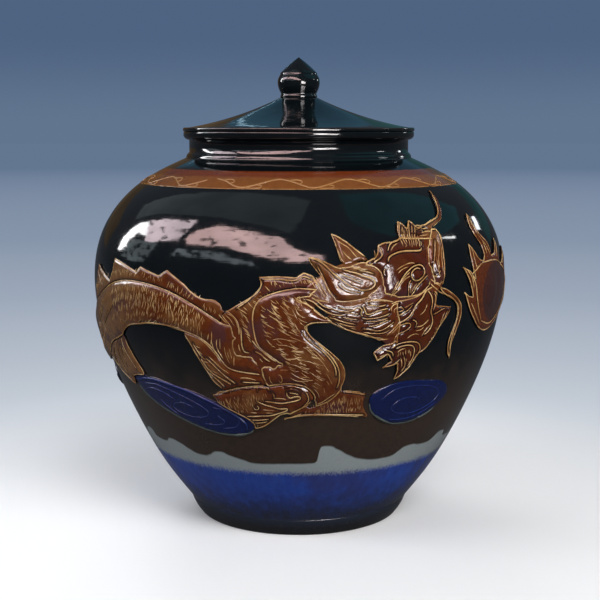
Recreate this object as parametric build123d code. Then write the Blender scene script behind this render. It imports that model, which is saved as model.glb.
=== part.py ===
from build123d import *
import os
from math import radians, sin

# A lidded glazed storage jar with a dragon in low relief, standing on its foot ring.
# Lengths are millimetres. The origin is at the centre of the foot's resting plane and +Z is up.
# Azimuth is measured round the axis in degrees: 0 faces -Y, the front, and grows towards +X.

# Wall of the jar
BELLY_RADIUS = 220.0
BELLY_DROP = 120.0
SHOULDER_HEIGHT = 386.0
SHOULDER_END_RADIUS = 121.0
WALL = 10.0
WALL_SEAM_DROP = 182.0
BELLY_HEIGHT = SHOULDER_HEIGHT - BELLY_DROP
WALL_SEAM_HEIGHT = SHOULDER_HEIGHT - WALL_SEAM_DROP

# Foot ring and floor
FOOT_RADIUS = 109.0
FOOT_TOP_RADIUS = 119.5
FOOT_HEIGHT = 20.0
FOOT_BULGE = 1.2
FOOT_RING_WIDTH = 17.0
FOOT_EDGE_ROUND = 2.5
FLOOR_THICKNESS = 13.0
FLOOR_CORNER_INSET = 14.5

# Neck and rim
NECK_RADIUS = 117.5
NECK_WALL = 10.0
NECK_COVE_RISE = 6.0
NECK_COVE_SAG = 0.9
NECK_HEIGHT = 28.0
RIM_HEIGHT = SHOULDER_HEIGHT + NECK_HEIGHT
RIM_RADIUS = 123.5
RIM_THICKNESS = 5.0
RIM_COVE_DROP = 4.0
RIM_COVE_SAG = 1.0
RIM_ROUND = 1.8

# Lid
LID_RADIUS = 124.0
LID_EDGE_THICKNESS = 4.0
LID_EDGE_ROUND = 1.7
LID_EDGE_LAND = 6.0
LID_SEAT_RADIUS = 20.0
LID_RISE = 35.5
LID_SAG = 3.6
LID_SHELL = 8.0
LOCATING_CLEARANCE = 3.0
LOCATING_WALL = 7.0
LOCATING_DEPTH = 14.0
LOCATING_ROUND = 1.5

# Knob
KNOB_COLLAR_RADIUS = 19.6
KNOB_COLLAR_HEIGHT = 2.4
KNOB_WAIST_RADIUS = 18.4
KNOB_WAIST_RISE = 3.8
KNOB_BALL_RADIUS = 22.5
KNOB_BALL_RISE = 15.5
KNOB_CREASE_RADIUS = 19.8
KNOB_CREASE_RISE = 24.5
KNOB_TIP_RADIUS = 1.2
KNOB_HEIGHT = 42.5

# How far each kind of relief stands proud of the wall
TRUNK_RISE = 4.0
CHEST_RISE = 4.6
CREST_RISE = 2.4
LIMB_RISE = 3.2
PAW_RISE = 4.4
FAR_LIMB_RISE = 2.0
SKULL_RISE = 6.0
SNOUT_RISE = 6.6
EAR_RISE = 5.4
HORN_RISE = 4.0
MANE_RISE = 4.4
JAW_RISE = 5.0
WHISKER_RISE = 2.4
FLAME_RISE = 2.6
CLOUD_RISE = 1.6

# The band of the wall that carries the relief keeps a bare margin above the foot and below the neck.
# Outline tables below give (azimuth, share of this band's height) for every point.
RELIEF_LOWER_MARGIN = 80.0
RELIEF_UPPER_MARGIN = 36.0
RELIEF_FOOT = FOOT_HEIGHT + RELIEF_LOWER_MARGIN
RELIEF_HEIGHT = SHOULDER_HEIGHT - RELIEF_UPPER_MARGIN - RELIEF_FOOT

# The pearl is a low dome, placed and sized within that band like the outlines round it
PEARL_RADIUS_SHARE = 0.088
PEARL_HEIGHT_SHARE = 0.63
PEARL_AZIMUTH = 60.5
PEARL_RISE = 4.4
PEARL_GAP = 0.8
PEARL_RADIUS = RELIEF_HEIGHT * PEARL_RADIUS_SHARE
PEARL_HEIGHT = RELIEF_FOOT + RELIEF_HEIGHT * PEARL_HEIGHT_SHARE

# The wall's outer outline between foot and belly and between belly and neck.
# Each pair is a share of the radius gained and a share of the height gained on that stretch.
LOWER_WALL_SHARES = [(0.28, 0.155), (0.565, 0.365), (0.82, 0.61), (0.97, 0.835)]
UPPER_WALL_SHARES = [(0.075, 0.325), (0.27, 0.60), (0.535, 0.80)]

# Outlines of the relief. Each is a closed chain of runs, and a run starts where the last one
# ended: one point makes a straight edge, more make a smooth one, and runs meet in corners.
TRUNK_SHARES = [
    [(-72, 0.56), (-65, 0.604), (-58, 0.652), (-50, 0.68), (-42, 0.68), (-34, 0.66),
     (-26, 0.612), (-19.5, 0.556)],
    [(-16.4, 0.548)],
    [(-15.8, 0.50), (-16.2, 0.472), (-15.2, 0.432), (-12.6, 0.428), (-10.6, 0.408), (-9.6, 0.364)],
    [(-15, 0.37), (-18.2, 0.384), (-20, 0.42), (-22, 0.462), (-25, 0.494), (-30, 0.518)],
    [(-35, 0.526), (-40, 0.526), (-45, 0.516), (-50, 0.50), (-54, 0.46)],
    [(-58, 0.436), (-63, 0.41), (-67, 0.372), (-71, 0.336), (-77, 0.30), (-84, 0.28)],
    [(-84, 0.448)],
]
BACK_CREST_SHARES = [
    [(-70.5, 0.632), (-68, 0.72)],
    [(-62, 0.688)],
    [(-58.4, 0.67)],
    [(-57, 0.71), (-56.5, 0.76)],
    [(-51, 0.744), (-45.5, 0.722)],
    [(-44, 0.742)],
    [(-40.5, 0.728), (-37, 0.716)],
    [(-34.5, 0.74)],
    [(-29, 0.692), (-23, 0.642), (-20.7, 0.64), (-19, 0.624)],
    [(-18.2, 0.598)],
    [(-19.2, 0.562)],
    [(-25.9, 0.618), (-34, 0.666), (-42, 0.686), (-50, 0.686), (-58, 0.658), (-65, 0.61), (-71.8, 0.568)],
]
NAPE_CREST_SHARES = [
    [(-15.5, 0.62), (-12, 0.652), (-9.8, 0.68), (-9.1, 0.706), (-9.7, 0.73)],
    [(-5, 0.734), (-0.6, 0.73)],
    [(1.2, 0.748)],
    [(3.4, 0.736), (5.2, 0.69)],
    [(0, 0.694), (-6, 0.676), (-10.3, 0.64), (-11.4, 0.60), (-11.3, 0.524), (-10.2, 0.47),
     (-7.8, 0.438), (-5.2, 0.408)],
    [(-8.5, 0.398), (-10, 0.424), (-11.6, 0.436), (-14, 0.436), (-15, 0.474), (-14.7, 0.524),
     (-15.1, 0.564), (-17.6, 0.60)],
]
CHEST_SHARES = [
    [(-6.9, 0.436), (-9.5, 0.468), (-10.6, 0.524), (-10.7, 0.60), (-9.7, 0.636), (-6, 0.672),
     (0, 0.69), (4.6, 0.684)],
    [(2.5, 0.664), (-0.6, 0.652)],
    [(3, 0.618), (5.8, 0.586), (7.9, 0.562)],
    [(5, 0.562), (2.8, 0.558), (1.5, 0.546)],
    [(3, 0.512), (6, 0.474), (9, 0.436), (11, 0.402), (12, 0.358), (11.5, 0.32), (9.4, 0.272),
     (6.8, 0.246), (4.4, 0.234)],
    [(4.7, 0.264), (3.6, 0.298), (0.6, 0.322), (-3, 0.328), (-7.9, 0.318)],
    [(-9, 0.36), (-9.1, 0.39)],
    [(-6.2, 0.388), (-3.9, 0.402)],
]
FORELEG_SHARES = [
    [(-25.2, 0.486), (-22.4, 0.454), (-20.4, 0.412), (-18.5, 0.378), (-15, 0.362), (-9.6, 0.352)],
    [(-8.7, 0.32)],
    [(-12, 0.316), (-16, 0.306), (-20.3, 0.286)],
    [(-23, 0.32), (-25, 0.372), (-26.5, 0.412), (-28.5, 0.47), (-30.2, 0.508)],
]
FOREPAW_SHARES = [
    [(-21, 0.276), (-16, 0.298), (-12, 0.308), (-8, 0.311), (-3, 0.321), (0, 0.316), (2.8, 0.292),
     (3.8, 0.264), (1.6, 0.234), (-2, 0.208), (-5, 0.196)],
    [(-7.2, 0.172), (-9.5, 0.148), (-12.6, 0.132)],
    [(-12.6, 0.156), (-15, 0.18), (-18, 0.204), (-22, 0.234), (-24.2, 0.262)],
]
FAR_LEG_SHARES = [
    [(13, 0.292), (18.6, 0.278)],
    [(18.3, 0.25), (18.5, 0.22), (20.2, 0.184)],
    [(20, 0.168)],
    [(15, 0.18), (10, 0.187), (5, 0.19), (0, 0.187), (-4.2, 0.172)],
    [(-1.2, 0.206), (2, 0.228)],
    [(4.4, 0.226), (7.2, 0.242), (9.8, 0.268), (11.4, 0.294)],
]
HIND_LEG_SHARES = [
    [(-57.8, 0.43), (-62.8, 0.404), (-66.6, 0.368), (-69.6, 0.338)],
    [(-66, 0.318), (-61, 0.28), (-55.2, 0.246)],
    [(-55, 0.283)],
    [(-51.4, 0.301), (-48, 0.31)],
    [(-50, 0.352), (-51.8, 0.392), (-53, 0.428), (-53.9, 0.452)],
]
HORN_SHARES = [
    [(9.9, 0.796), (9.3, 0.832), (8.2, 0.884)],
    [(12, 0.852), (15, 0.816), (17.4, 0.79)],
    [(14, 0.778), (10.6, 0.766)],
]
EAR_SHARES = [
    [(5.8, 0.788), (10.2, 0.76), (15.4, 0.764), (19.2, 0.744), (20, 0.704), (17.6, 0.664), (13, 0.646),
     (8.8, 0.648), (6.8, 0.684), (5, 0.736), (2.4, 0.80)],
]
SKULL_SHARES = [
    [(17.9, 0.786), (19.4, 0.806), (20, 0.838)],
    [(22, 0.846), (24.4, 0.848), (26.4, 0.856)],
    [(30, 0.852), (34.2, 0.85)],
    [(33.6, 0.80), (33.2, 0.758), (33.7, 0.708), (34.8, 0.678)],
    [(32.6, 0.668), (29.8, 0.652), (24.6, 0.648)],
    [(20.8, 0.662), (20.6, 0.704), (19.8, 0.748), (16.2, 0.772)],
]
TUFT_SHARES = [
    [(26.4, 0.884), (27.2, 0.918)],
    [(28.6, 0.906), (29.4, 0.892)],
    [(30.8, 0.92)],
    [(32, 0.908), (32.6, 0.892)],
    [(34.6, 0.898)],
    [(34.4, 0.876), (34.3, 0.858)],
    [(30, 0.86), (26.6, 0.864)],
]
SNOUT_SHARES = [
    [(34.6, 0.72), (34.1, 0.758), (34.5, 0.80), (35.4, 0.848), (36.8, 0.878)],
    [(39, 0.876), (40, 0.852), (39.6, 0.80), (39.1, 0.74), (38.2, 0.69)],
    [(36.8, 0.686), (35.4, 0.686)],
]
MANE_SHARES = [
    [(3, 0.654), (6, 0.646), (8.4, 0.638), (12.6, 0.634), (17.8, 0.646), (21, 0.642), (23.8, 0.632)],
    [(23.6, 0.60), (24.6, 0.55), (24.2, 0.492)],
    [(20, 0.488), (16, 0.512), (12, 0.53), (9.3, 0.554), (6.7, 0.594), (3.5, 0.628), (-0.1, 0.654)],
]
JAW_SHARES = [
    [(29.8, 0.644), (32.8, 0.66), (34.6, 0.67)],
    [(36.2, 0.65), (35.6, 0.606)],
    [(38, 0.60), (41.4, 0.592)],
    [(39.4, 0.55), (37, 0.504), (34.4, 0.448), (32, 0.424)],
    [(29.6, 0.37), (25.8, 0.322)],
    [(26.2, 0.36), (25.8, 0.392)],
    [(21.8, 0.374)],
    [(24, 0.404)],
    [(22.8, 0.432), (20, 0.408)],
    [(18.8, 0.44), (21, 0.464), (24.8, 0.48)],
    [(25.4, 0.55), (24.4, 0.60), (24.5, 0.642)],
]
UPPER_WHISKER_SHARES = [
    [(38.4, 0.916), (42.2, 0.934), (44.2, 0.966), (45.2, 0.992), (46.8, 1.026)],
    [(46.9, 0.99), (45.8, 0.956), (43.4, 0.92), (40.2, 0.90), (37.8, 0.886)],
    [(36.2, 0.886), (35.2, 0.90)],
]
LOWER_WHISKER_SHARES = [
    [(39.4, 0.664), (43, 0.632), (45.3, 0.596), (45.7, 0.552), (44.5, 0.492), (43.7, 0.448),
     (43.9, 0.404), (44.4, 0.376)],
    [(42.8, 0.40), (42.2, 0.448), (42.9, 0.492), (44, 0.552), (43.6, 0.592), (41.4, 0.622),
     (38.4, 0.648), (37, 0.674)],
]
FLAME_SHARES = [
    [(48.6, 0.622), (50.4, 0.616)],
    [(49.8, 0.648), (48.4, 0.69), (46.5, 0.738)],
    [(49.5, 0.718), (51.9, 0.682)],
    [(51, 0.72), (50.5, 0.77), (50.9, 0.822)],
    [(53, 0.788), (55, 0.756), (57, 0.75)],
    [(58, 0.774), (57.4, 0.814), (55.8, 0.85), (55.2, 0.892), (56.8, 0.932)],
    [(57.4, 0.90), (57.8, 0.868), (60, 0.832), (62.2, 0.80), (63, 0.762)],
    [(66, 0.772), (69.5, 0.824)],
    [(69.4, 0.78), (70, 0.716)],
    [(74, 0.73), (80, 0.78)],
    [(78.6, 0.72), (76, 0.648)],
    [(82, 0.65), (90, 0.672)],
    [(84, 0.60), (76, 0.546), (67, 0.486), (60, 0.462), (55.6, 0.48), (51.6, 0.528), (48.6, 0.584),
     (46.8, 0.64)],
]
CLOUD_LEFT_SHARES = [
    [(-54.4, 0.276), (-50, 0.292), (-45, 0.30), (-40, 0.292), (-34.6, 0.278), (-30, 0.266),
     (-25.6, 0.244), (-21.4, 0.22), (-17.6, 0.192), (-14.2, 0.166), (-13, 0.132), (-15, 0.106),
     (-21, 0.092), (-27, 0.098), (-33, 0.118), (-40, 0.148), (-46.6, 0.182), (-52, 0.23)],
]
CLOUD_RIGHT_SHARES = [
    [(19.6, 0.252), (23.4, 0.296), (30.5, 0.312), (39.4, 0.30), (46.4, 0.268), (48.4, 0.232),
     (44.6, 0.172), (37, 0.132), (28.6, 0.132), (22.2, 0.176)],
]
REAR_TRUNK_SHARES = [
    [(-92, 0.428), (-101, 0.446), (-110, 0.516), (-120, 0.596), (-130, 0.636), (-140, 0.622),
     (-150, 0.556), (-158, 0.464), (-164, 0.372)],
    [(-158.4, 0.288)],
    [(-152, 0.338), (-145, 0.418), (-138, 0.464), (-130, 0.476), (-120, 0.436), (-110, 0.348),
     (-101, 0.28), (-92, 0.264), (-84.3, 0.28)],
    [(-84.3, 0.447)],
]
REAR_CREST_SHARES = [
    [(-106, 0.584)],
    [(-112, 0.596), (-117, 0.592)],
    [(-120, 0.694)],
    [(-126, 0.69), (-132, 0.666)],
    [(-136, 0.74)],
    [(-141, 0.70), (-145, 0.644)],
    [(-150.5, 0.672)],
    [(-154, 0.59), (-157, 0.516)],
    [(-162.6, 0.50)],
    [(-163, 0.44), (-161.8, 0.42)],
    [(-158.2, 0.474), (-150.2, 0.564), (-140, 0.63), (-130, 0.643), (-120, 0.603), (-110, 0.524),
     (-103.8, 0.474)],
]
REAR_LEG_SHARES = [
    [(-137.6, 0.456), (-132, 0.468)],
    [(-131.2, 0.41), (-129.4, 0.356), (-125, 0.308), (-119, 0.276)],
    [(-114.6, 0.272), (-112, 0.256)],
    [(-108.4, 0.216)],
    [(-112, 0.22), (-114, 0.214)],
    [(-111.6, 0.186)],
    [(-117, 0.192), (-124, 0.206), (-131, 0.24), (-136, 0.296), (-139, 0.37), (-141.6, 0.43)],
]
TAIL_SHARES = [
    [(-168, 0.304), (-174, 0.262), (-181, 0.262), (-186, 0.292), (-188.4, 0.34), (-189, 0.38)],
    [(-187, 0.43), (-186.6, 0.48)],
    [(-189.6, 0.462), (-191, 0.446)],
    [(-192.4, 0.49), (-195.4, 0.53)],
    [(-195.8, 0.48), (-196, 0.436)],
    [(-199, 0.456), (-203, 0.466)],
    [(-200, 0.41), (-196, 0.34), (-192.6, 0.27), (-187, 0.21), (-179, 0.18), (-170, 0.19),
     (-163, 0.23), (-158.9, 0.282)],
    [(-164.4, 0.364)],
]
CLOUD_SIDE_SHARES = [
    [(-78.4, 0.232), (-82, 0.262), (-92, 0.25), (-99.6, 0.262), (-104, 0.276), (-106.6, 0.25),
     (-103, 0.196), (-94, 0.156), (-84, 0.168)],
]
CLOUD_BACK_SHARES = [
    [(-104.4, 0.12), (-107, 0.16), (-112, 0.176), (-118, 0.184), (-126, 0.194), (-133, 0.21), (-137, 0.17),
     (-133, 0.116), (-122, 0.08), (-110, 0.084)],
]
CLOUD_FAR_SHARES = [
    [(128, 0.23), (132, 0.276), (141, 0.30), (151, 0.284), (157, 0.24), (154, 0.176), (144, 0.136),
     (134, 0.158)],
]

SECTOR = 160.0
WALL_STEPS = 240
KNOB_CONE_BULGE_SHARE = 0.006


def mix(start, end, share):
    """The value at a share of the way from start to end."""
    return start + (end - start) * share


def wall_points():
    """Points (radius, height) that the wall's outer outline passes through, from foot to neck."""
    lower = [
        (mix(FOOT_TOP_RADIUS, BELLY_RADIUS, across), mix(FOOT_HEIGHT, BELLY_HEIGHT, up))
        for across, up in LOWER_WALL_SHARES
    ]
    upper = [
        (mix(BELLY_RADIUS, SHOULDER_END_RADIUS, across), mix(BELLY_HEIGHT, SHOULDER_HEIGHT, up))
        for across, up in UPPER_WALL_SHARES
    ]
    foot, belly = (FOOT_TOP_RADIUS, FOOT_HEIGHT), (BELLY_RADIUS, BELLY_HEIGHT)
    return [foot, *lower, belly, *upper, (SHOULDER_END_RADIUS, SHOULDER_HEIGHT)]


OUTER_LINE = Spline(*wall_points())
WALL_TRACK = [OUTER_LINE @ (step / WALL_STEPS) for step in range(WALL_STEPS + 1)]


def wall_radius(height):
    """The wall's outer radius at a height."""
    for low, high in zip(WALL_TRACK, WALL_TRACK[1:]):
        if height <= high.Y:
            return mix(low.X, high.X, (height - low.Y) / (high.Y - low.Y))
    return SHOULDER_END_RADIUS


def beside_wall(distance):
    """Points a distance outside the wall's outer outline, or inside it when negative."""
    found = []
    for radius, height in wall_points():
        along = OUTER_LINE % OUTER_LINE.param_at_point((radius, height))
        found.append((radius + distance * along.Y, height - distance * along.X))
    return found


def chain(points):
    """Straight section edges through points (radius, height), in order."""
    return [Line(*pair) for pair in zip(points, points[1:])]


def turned(edges, arc=360):
    """The solid that a closed chain of section edges sweeps round the axis."""
    return revolve(Plane.XZ * make_face(edges), Axis.Z, arc)


def rounded(solid, radius, height, size):
    """The solid with its circular edges at a radius and a height rounded."""
    near = [
        edge for edge in solid.edges().filter_by(GeomType.CIRCLE)
        if abs(edge.radius - radius) < size / 4 and abs(edge.arc_center.Z - height) < size / 4
    ]
    return fillet(near, size)


def foot_ring():
    """The ring that the jar stands on, slightly flared and bulged."""
    inner = FOOT_RADIUS - FOOT_RING_WIDTH
    side = SagittaArc((FOOT_RADIUS, 0), (FOOT_TOP_RADIUS, FOOT_HEIGHT), -FOOT_BULGE)
    closing = chain([(FOOT_TOP_RADIUS, FOOT_HEIGHT), (inner, FOOT_HEIGHT), (inner, 0), (FOOT_RADIUS, 0)])
    ring = turned([side, *closing])
    return rounded(rounded(ring, FOOT_RADIUS, 0, FOOT_EDGE_ROUND), inner, 0, FOOT_EDGE_ROUND)


def floor_slab():
    """The thick disc that closes the jar's bottom inside the foot ring."""
    disc = Cylinder(FOOT_RADIUS - FOOT_RING_WIDTH, FLOOR_THICKNESS, align=(Align.CENTER, Align.CENTER, Align.MAX))
    return Pos(0, 0, FOOT_HEIGHT) * disc


def whole_wall():
    """The thrown wall from the foot ring up to the neck, hollow, with an even thickness."""
    floor_corner = (FOOT_TOP_RADIUS - FLOOR_CORNER_INSET, FOOT_HEIGHT)
    bore_corner = (NECK_RADIUS - NECK_WALL, SHOULDER_HEIGHT)
    inside = [floor_corner, *beside_wall(-WALL)[1:-1], bore_corner]
    ends = [
        *chain([bore_corner, (SHOULDER_END_RADIUS, SHOULDER_HEIGHT)]),
        *chain([(FOOT_TOP_RADIUS, FOOT_HEIGHT), floor_corner]),
    ]
    return turned([OUTER_LINE, *ends, Spline(*inside)])


def neck_rim():
    """The short upright neck with a cove at its root and a rolled lip on top."""
    bore = NECK_RADIUS - NECK_WALL
    lip = RIM_HEIGHT - RIM_THICKNESS
    cove_top = SHOULDER_HEIGHT + NECK_COVE_RISE
    root_cove = SagittaArc((SHOULDER_END_RADIUS, SHOULDER_HEIGHT), (NECK_RADIUS, cove_top), NECK_COVE_SAG)
    lip_cove = SagittaArc((NECK_RADIUS, lip - RIM_COVE_DROP), (RIM_RADIUS, lip), RIM_COVE_SAG)
    neck_side = chain([(NECK_RADIUS, cove_top), (NECK_RADIUS, lip - RIM_COVE_DROP)])
    rest = chain([
        (RIM_RADIUS, lip), (RIM_RADIUS, RIM_HEIGHT), (bore, RIM_HEIGHT),
        (bore, SHOULDER_HEIGHT), (SHOULDER_END_RADIUS, SHOULDER_HEIGHT),
    ])
    neck = turned([root_cove, *neck_side, lip_cove, *rest])
    for height in (lip, RIM_HEIGHT):
        neck = rounded(neck, RIM_RADIUS, height, RIM_ROUND)
    return rounded(neck, bore, RIM_HEIGHT, RIM_ROUND)


def lid_cover():
    """The low hollow cone that covers the mouth, with a rounded edge."""
    edge_top = RIM_HEIGHT + LID_EDGE_THICKNESS
    seat = RIM_HEIGHT + LID_RISE
    hollow = NECK_RADIUS - NECK_WALL - LOCATING_CLEARANCE - LOCATING_WALL
    cone = SagittaArc((LID_RADIUS - LID_EDGE_LAND, edge_top), (LID_SEAT_RADIUS, seat), LID_SAG)
    under = SagittaArc((hollow, RIM_HEIGHT), (LID_SEAT_RADIUS, seat - LID_SHELL), LID_SAG)
    outside = chain([
        (hollow, RIM_HEIGHT), (LID_RADIUS, RIM_HEIGHT), (LID_RADIUS, edge_top),
        (LID_RADIUS - LID_EDGE_LAND, edge_top),
    ])
    middle = chain([
        (LID_SEAT_RADIUS, seat), (0, seat), (0, seat - LID_SHELL), (LID_SEAT_RADIUS, seat - LID_SHELL),
    ])
    cover = turned([*outside, cone, *middle, under])
    for height in (RIM_HEIGHT, edge_top):
        cover = rounded(cover, LID_RADIUS, height, LID_EDGE_ROUND)
    return cover


def lid_locating_ring():
    """The ring under the lid that keeps it centred in the mouth."""
    outer = NECK_RADIUS - NECK_WALL - LOCATING_CLEARANCE
    inner = outer - LOCATING_WALL
    low = RIM_HEIGHT - LOCATING_DEPTH
    ring = turned(chain([
        (inner, low), (outer, low), (outer, RIM_HEIGHT), (inner, RIM_HEIGHT), (inner, low),
    ]))
    for radius in (inner, outer):
        ring = rounded(ring, radius, low, LOCATING_ROUND)
    return ring


def lid_knob():
    """The lotus-bud knob: a collar, a waist, a round bud and a pointed cap."""
    seat = RIM_HEIGHT + LID_RISE
    tip = seat + KNOB_HEIGHT
    bud = Spline(
        (KNOB_WAIST_RADIUS, seat + KNOB_WAIST_RISE),
        (KNOB_BALL_RADIUS, seat + KNOB_BALL_RISE),
        (KNOB_CREASE_RADIUS, seat + KNOB_CREASE_RISE),
    )
    cap = SagittaArc(
        (KNOB_CREASE_RADIUS, seat + KNOB_CREASE_RISE),
        (KNOB_TIP_RADIUS, tip),
        -KNOB_HEIGHT * KNOB_CONE_BULGE_SHARE,
    )
    base = chain([
        (0, seat), (KNOB_COLLAR_RADIUS, seat), (KNOB_COLLAR_RADIUS, seat + KNOB_COLLAR_HEIGHT),
        (KNOB_WAIST_RADIUS, seat + KNOB_WAIST_RISE),
    ])
    top = chain([(KNOB_TIP_RADIUS, tip), (0, tip), (0, seat)])
    return turned([*base, bud, cap, *top])


def skin(rise):
    """A layer of clay on the front of the wall, as thick as the relief is high."""
    outside = Spline(*beside_wall(rise))
    joins = [Line(OUTER_LINE @ 0, outside @ 0), Line(OUTER_LINE @ 1, outside @ 1)]
    return Rot(0, 0, -90 - SECTOR / 2) * turned([OUTER_LINE, outside, *joins], SECTOR)


def on_plane(facing, azimuth, share):
    """A point of an outline, seen square on from the facing azimuth."""
    height = RELIEF_FOOT + RELIEF_HEIGHT * share
    return (wall_radius(height) * sin(radians(azimuth - facing)), height)


def outline(facing, runs):
    """The flat face inside a closed chain of runs, seen square on from the facing azimuth."""
    if len(runs) == 1:
        return make_face(Spline(*[on_plane(facing, *point) for point in runs[0]], periodic=True))
    edges = []
    start = on_plane(facing, *runs[-1][-1])
    for run in runs:
        points = [start, *[on_plane(facing, *point) for point in run]]
        edges.append(Line(*points) if len(run) == 1 else Spline(*points))
        start = points[-1]
    return make_face(edges)


def forwards(face):
    """The prism of an upright face from the axis forwards, past the wall."""
    return extrude(Plane.XZ * face, amount=BELLY_RADIUS * 2, dir=(0, -1, 0))


def relief(facing, rise, runs):
    """A flat piece of clay cut to an outline at the front, then turned to its azimuth."""
    return Rot(0, 0, facing) * (skin(rise) & forwards(outline(facing, runs)))


def pearl():
    """The pearl: a low dome on the wall."""
    ball = 1 / (2 * PEARL_RISE / PEARL_RADIUS ** 2 + 1 / BELLY_RADIUS)
    centre = ball - wall_radius(PEARL_HEIGHT) - PEARL_RISE
    dome = skin(PEARL_RISE * 2) & Pos(0, centre, PEARL_HEIGHT) * Sphere(ball)
    return Rot(0, 0, PEARL_AZIMUTH) * dome


def pearl_flames():
    """The tongues of flame round the pearl, with its place left open."""
    ring = Pos(0, PEARL_HEIGHT) * Circle(PEARL_RADIUS + PEARL_GAP)
    tongues = skin(FLAME_RISE) & forwards(outline(PEARL_AZIMUTH, FLAME_SHARES) - ring)
    return Rot(0, 0, PEARL_AZIMUTH) * tongues


RELIEFS = {
    "dragon_trunk": (-50, TRUNK_RISE, TRUNK_SHARES),
    "dragon_back_crest": (-46, CREST_RISE, BACK_CREST_SHARES),
    "dragon_nape_crest": (-6, CREST_RISE, NAPE_CREST_SHARES),
    "dragon_chest": (-2, CHEST_RISE, CHEST_SHARES),
    "dragon_foreleg": (-20, LIMB_RISE, FORELEG_SHARES),
    "dragon_forepaw": (-8, PAW_RISE, FOREPAW_SHARES),
    "dragon_far_foreleg": (8, FAR_LIMB_RISE, FAR_LEG_SHARES),
    "dragon_hind_leg": (-58, LIMB_RISE, HIND_LEG_SHARES),
    "dragon_skull": (26, SKULL_RISE, SKULL_SHARES),
    "dragon_brow_tuft": (30, HORN_RISE, TUFT_SHARES),
    "dragon_snout": (36, SNOUT_RISE, SNOUT_SHARES),
    "dragon_horn": (12, HORN_RISE, HORN_SHARES),
    "dragon_ear": (12, EAR_RISE, EAR_SHARES),
    "dragon_mane": (14, MANE_RISE, MANE_SHARES),
    "dragon_jaw": (30, JAW_RISE, JAW_SHARES),
    "dragon_upper_whisker": (41, WHISKER_RISE, UPPER_WHISKER_SHARES),
    "dragon_lower_whisker": (41, WHISKER_RISE, LOWER_WHISKER_SHARES),
    "dragon_rear_trunk": (-124, TRUNK_RISE, REAR_TRUNK_SHARES),
    "dragon_rear_crest": (-134, CREST_RISE, REAR_CREST_SHARES),
    "dragon_rear_leg": (-126, LIMB_RISE, REAR_LEG_SHARES),
    "dragon_tail": (-180, LIMB_RISE, TAIL_SHARES),
    "cloud_left": (-34, CLOUD_RISE, CLOUD_LEFT_SHARES),
    "cloud_right": (34, CLOUD_RISE, CLOUD_RIGHT_SHARES),
    "cloud_side": (-95, CLOUD_RISE, CLOUD_SIDE_SHARES),
    "cloud_back": (-121, CLOUD_RISE, CLOUD_BACK_SHARES),
    "cloud_far": (142, CLOUD_RISE, CLOUD_FAR_SHARES),
}

PIECES = {
    "foot_ring": foot_ring,
    "floor_slab": floor_slab,
    "neck_rim": neck_rim,
    "lid_cover": lid_cover,
    "lid_locating_ring": lid_locating_ring,
    "lid_knob": lid_knob,
    "flaming_pearl": pearl,
    "pearl_flames": pearl_flames,
}


def save(name, shape):
    """Write one piece to its own file."""
    export_step(shape, f"parts/{name}.step")


os.makedirs("parts", exist_ok=True)
wall = whole_wall()
seam = Plane.XY.offset(WALL_SEAM_HEIGHT)
save("lower_wall", split(wall, bisect_by=seam, keep=Keep.BOTTOM))
save("upper_wall", split(wall, bisect_by=seam, keep=Keep.TOP))
for piece_name, build in PIECES.items():
    save(piece_name, build())
for piece_name, (facing, rise, runs) in RELIEFS.items():
    save(piece_name, relief(facing, rise, runs))
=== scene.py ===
import math
import bmesh
import bpy
import numpy as np
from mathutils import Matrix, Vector, geometry, kdtree, noise

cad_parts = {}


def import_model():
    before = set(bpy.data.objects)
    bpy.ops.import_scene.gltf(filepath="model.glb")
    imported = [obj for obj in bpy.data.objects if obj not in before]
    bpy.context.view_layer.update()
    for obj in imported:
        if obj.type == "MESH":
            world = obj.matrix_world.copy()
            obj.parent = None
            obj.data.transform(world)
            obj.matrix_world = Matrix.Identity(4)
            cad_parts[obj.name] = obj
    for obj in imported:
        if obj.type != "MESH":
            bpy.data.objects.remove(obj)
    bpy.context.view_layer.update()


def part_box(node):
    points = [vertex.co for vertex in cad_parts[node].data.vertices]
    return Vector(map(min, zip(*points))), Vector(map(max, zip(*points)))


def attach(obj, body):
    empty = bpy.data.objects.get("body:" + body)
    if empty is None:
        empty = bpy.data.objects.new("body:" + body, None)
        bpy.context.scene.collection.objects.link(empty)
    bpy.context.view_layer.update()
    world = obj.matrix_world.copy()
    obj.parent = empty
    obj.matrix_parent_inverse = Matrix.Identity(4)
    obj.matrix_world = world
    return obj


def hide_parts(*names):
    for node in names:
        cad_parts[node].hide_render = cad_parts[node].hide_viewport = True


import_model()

# A lidded stoneware storage jar: near-black glaze, a dragon laid on in relief under amber glaze,
# cobalt clouds, a red and tan band on the shoulder, and a grey-white and a blue band above the foot.
# Heights, radii and widths are millimetres, azimuths are degrees: 0 faces -Y, positive is +X.

MM = 0.001

# Sizes of the solids that the turned pieces follow

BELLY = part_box("upper_wall")[1][0]
FOOT_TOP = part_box("lower_wall")[0][2] / MM
FLOOR_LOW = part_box("floor_slab")[0][2] / MM
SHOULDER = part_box("neck_rim")[0][2] / MM
RIM_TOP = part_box("neck_rim")[1][2] / MM
RIM_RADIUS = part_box("neck_rim")[1][0] / MM
LID_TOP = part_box("lid_cover")[1][2] / MM
LID_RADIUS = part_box("lid_cover")[1][0] / MM
RING_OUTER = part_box("lid_locating_ring")[1][0] / MM
RING_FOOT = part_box("lid_locating_ring")[0][2] / MM
KNOB_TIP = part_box("lid_knob")[1][2] / MM

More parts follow.
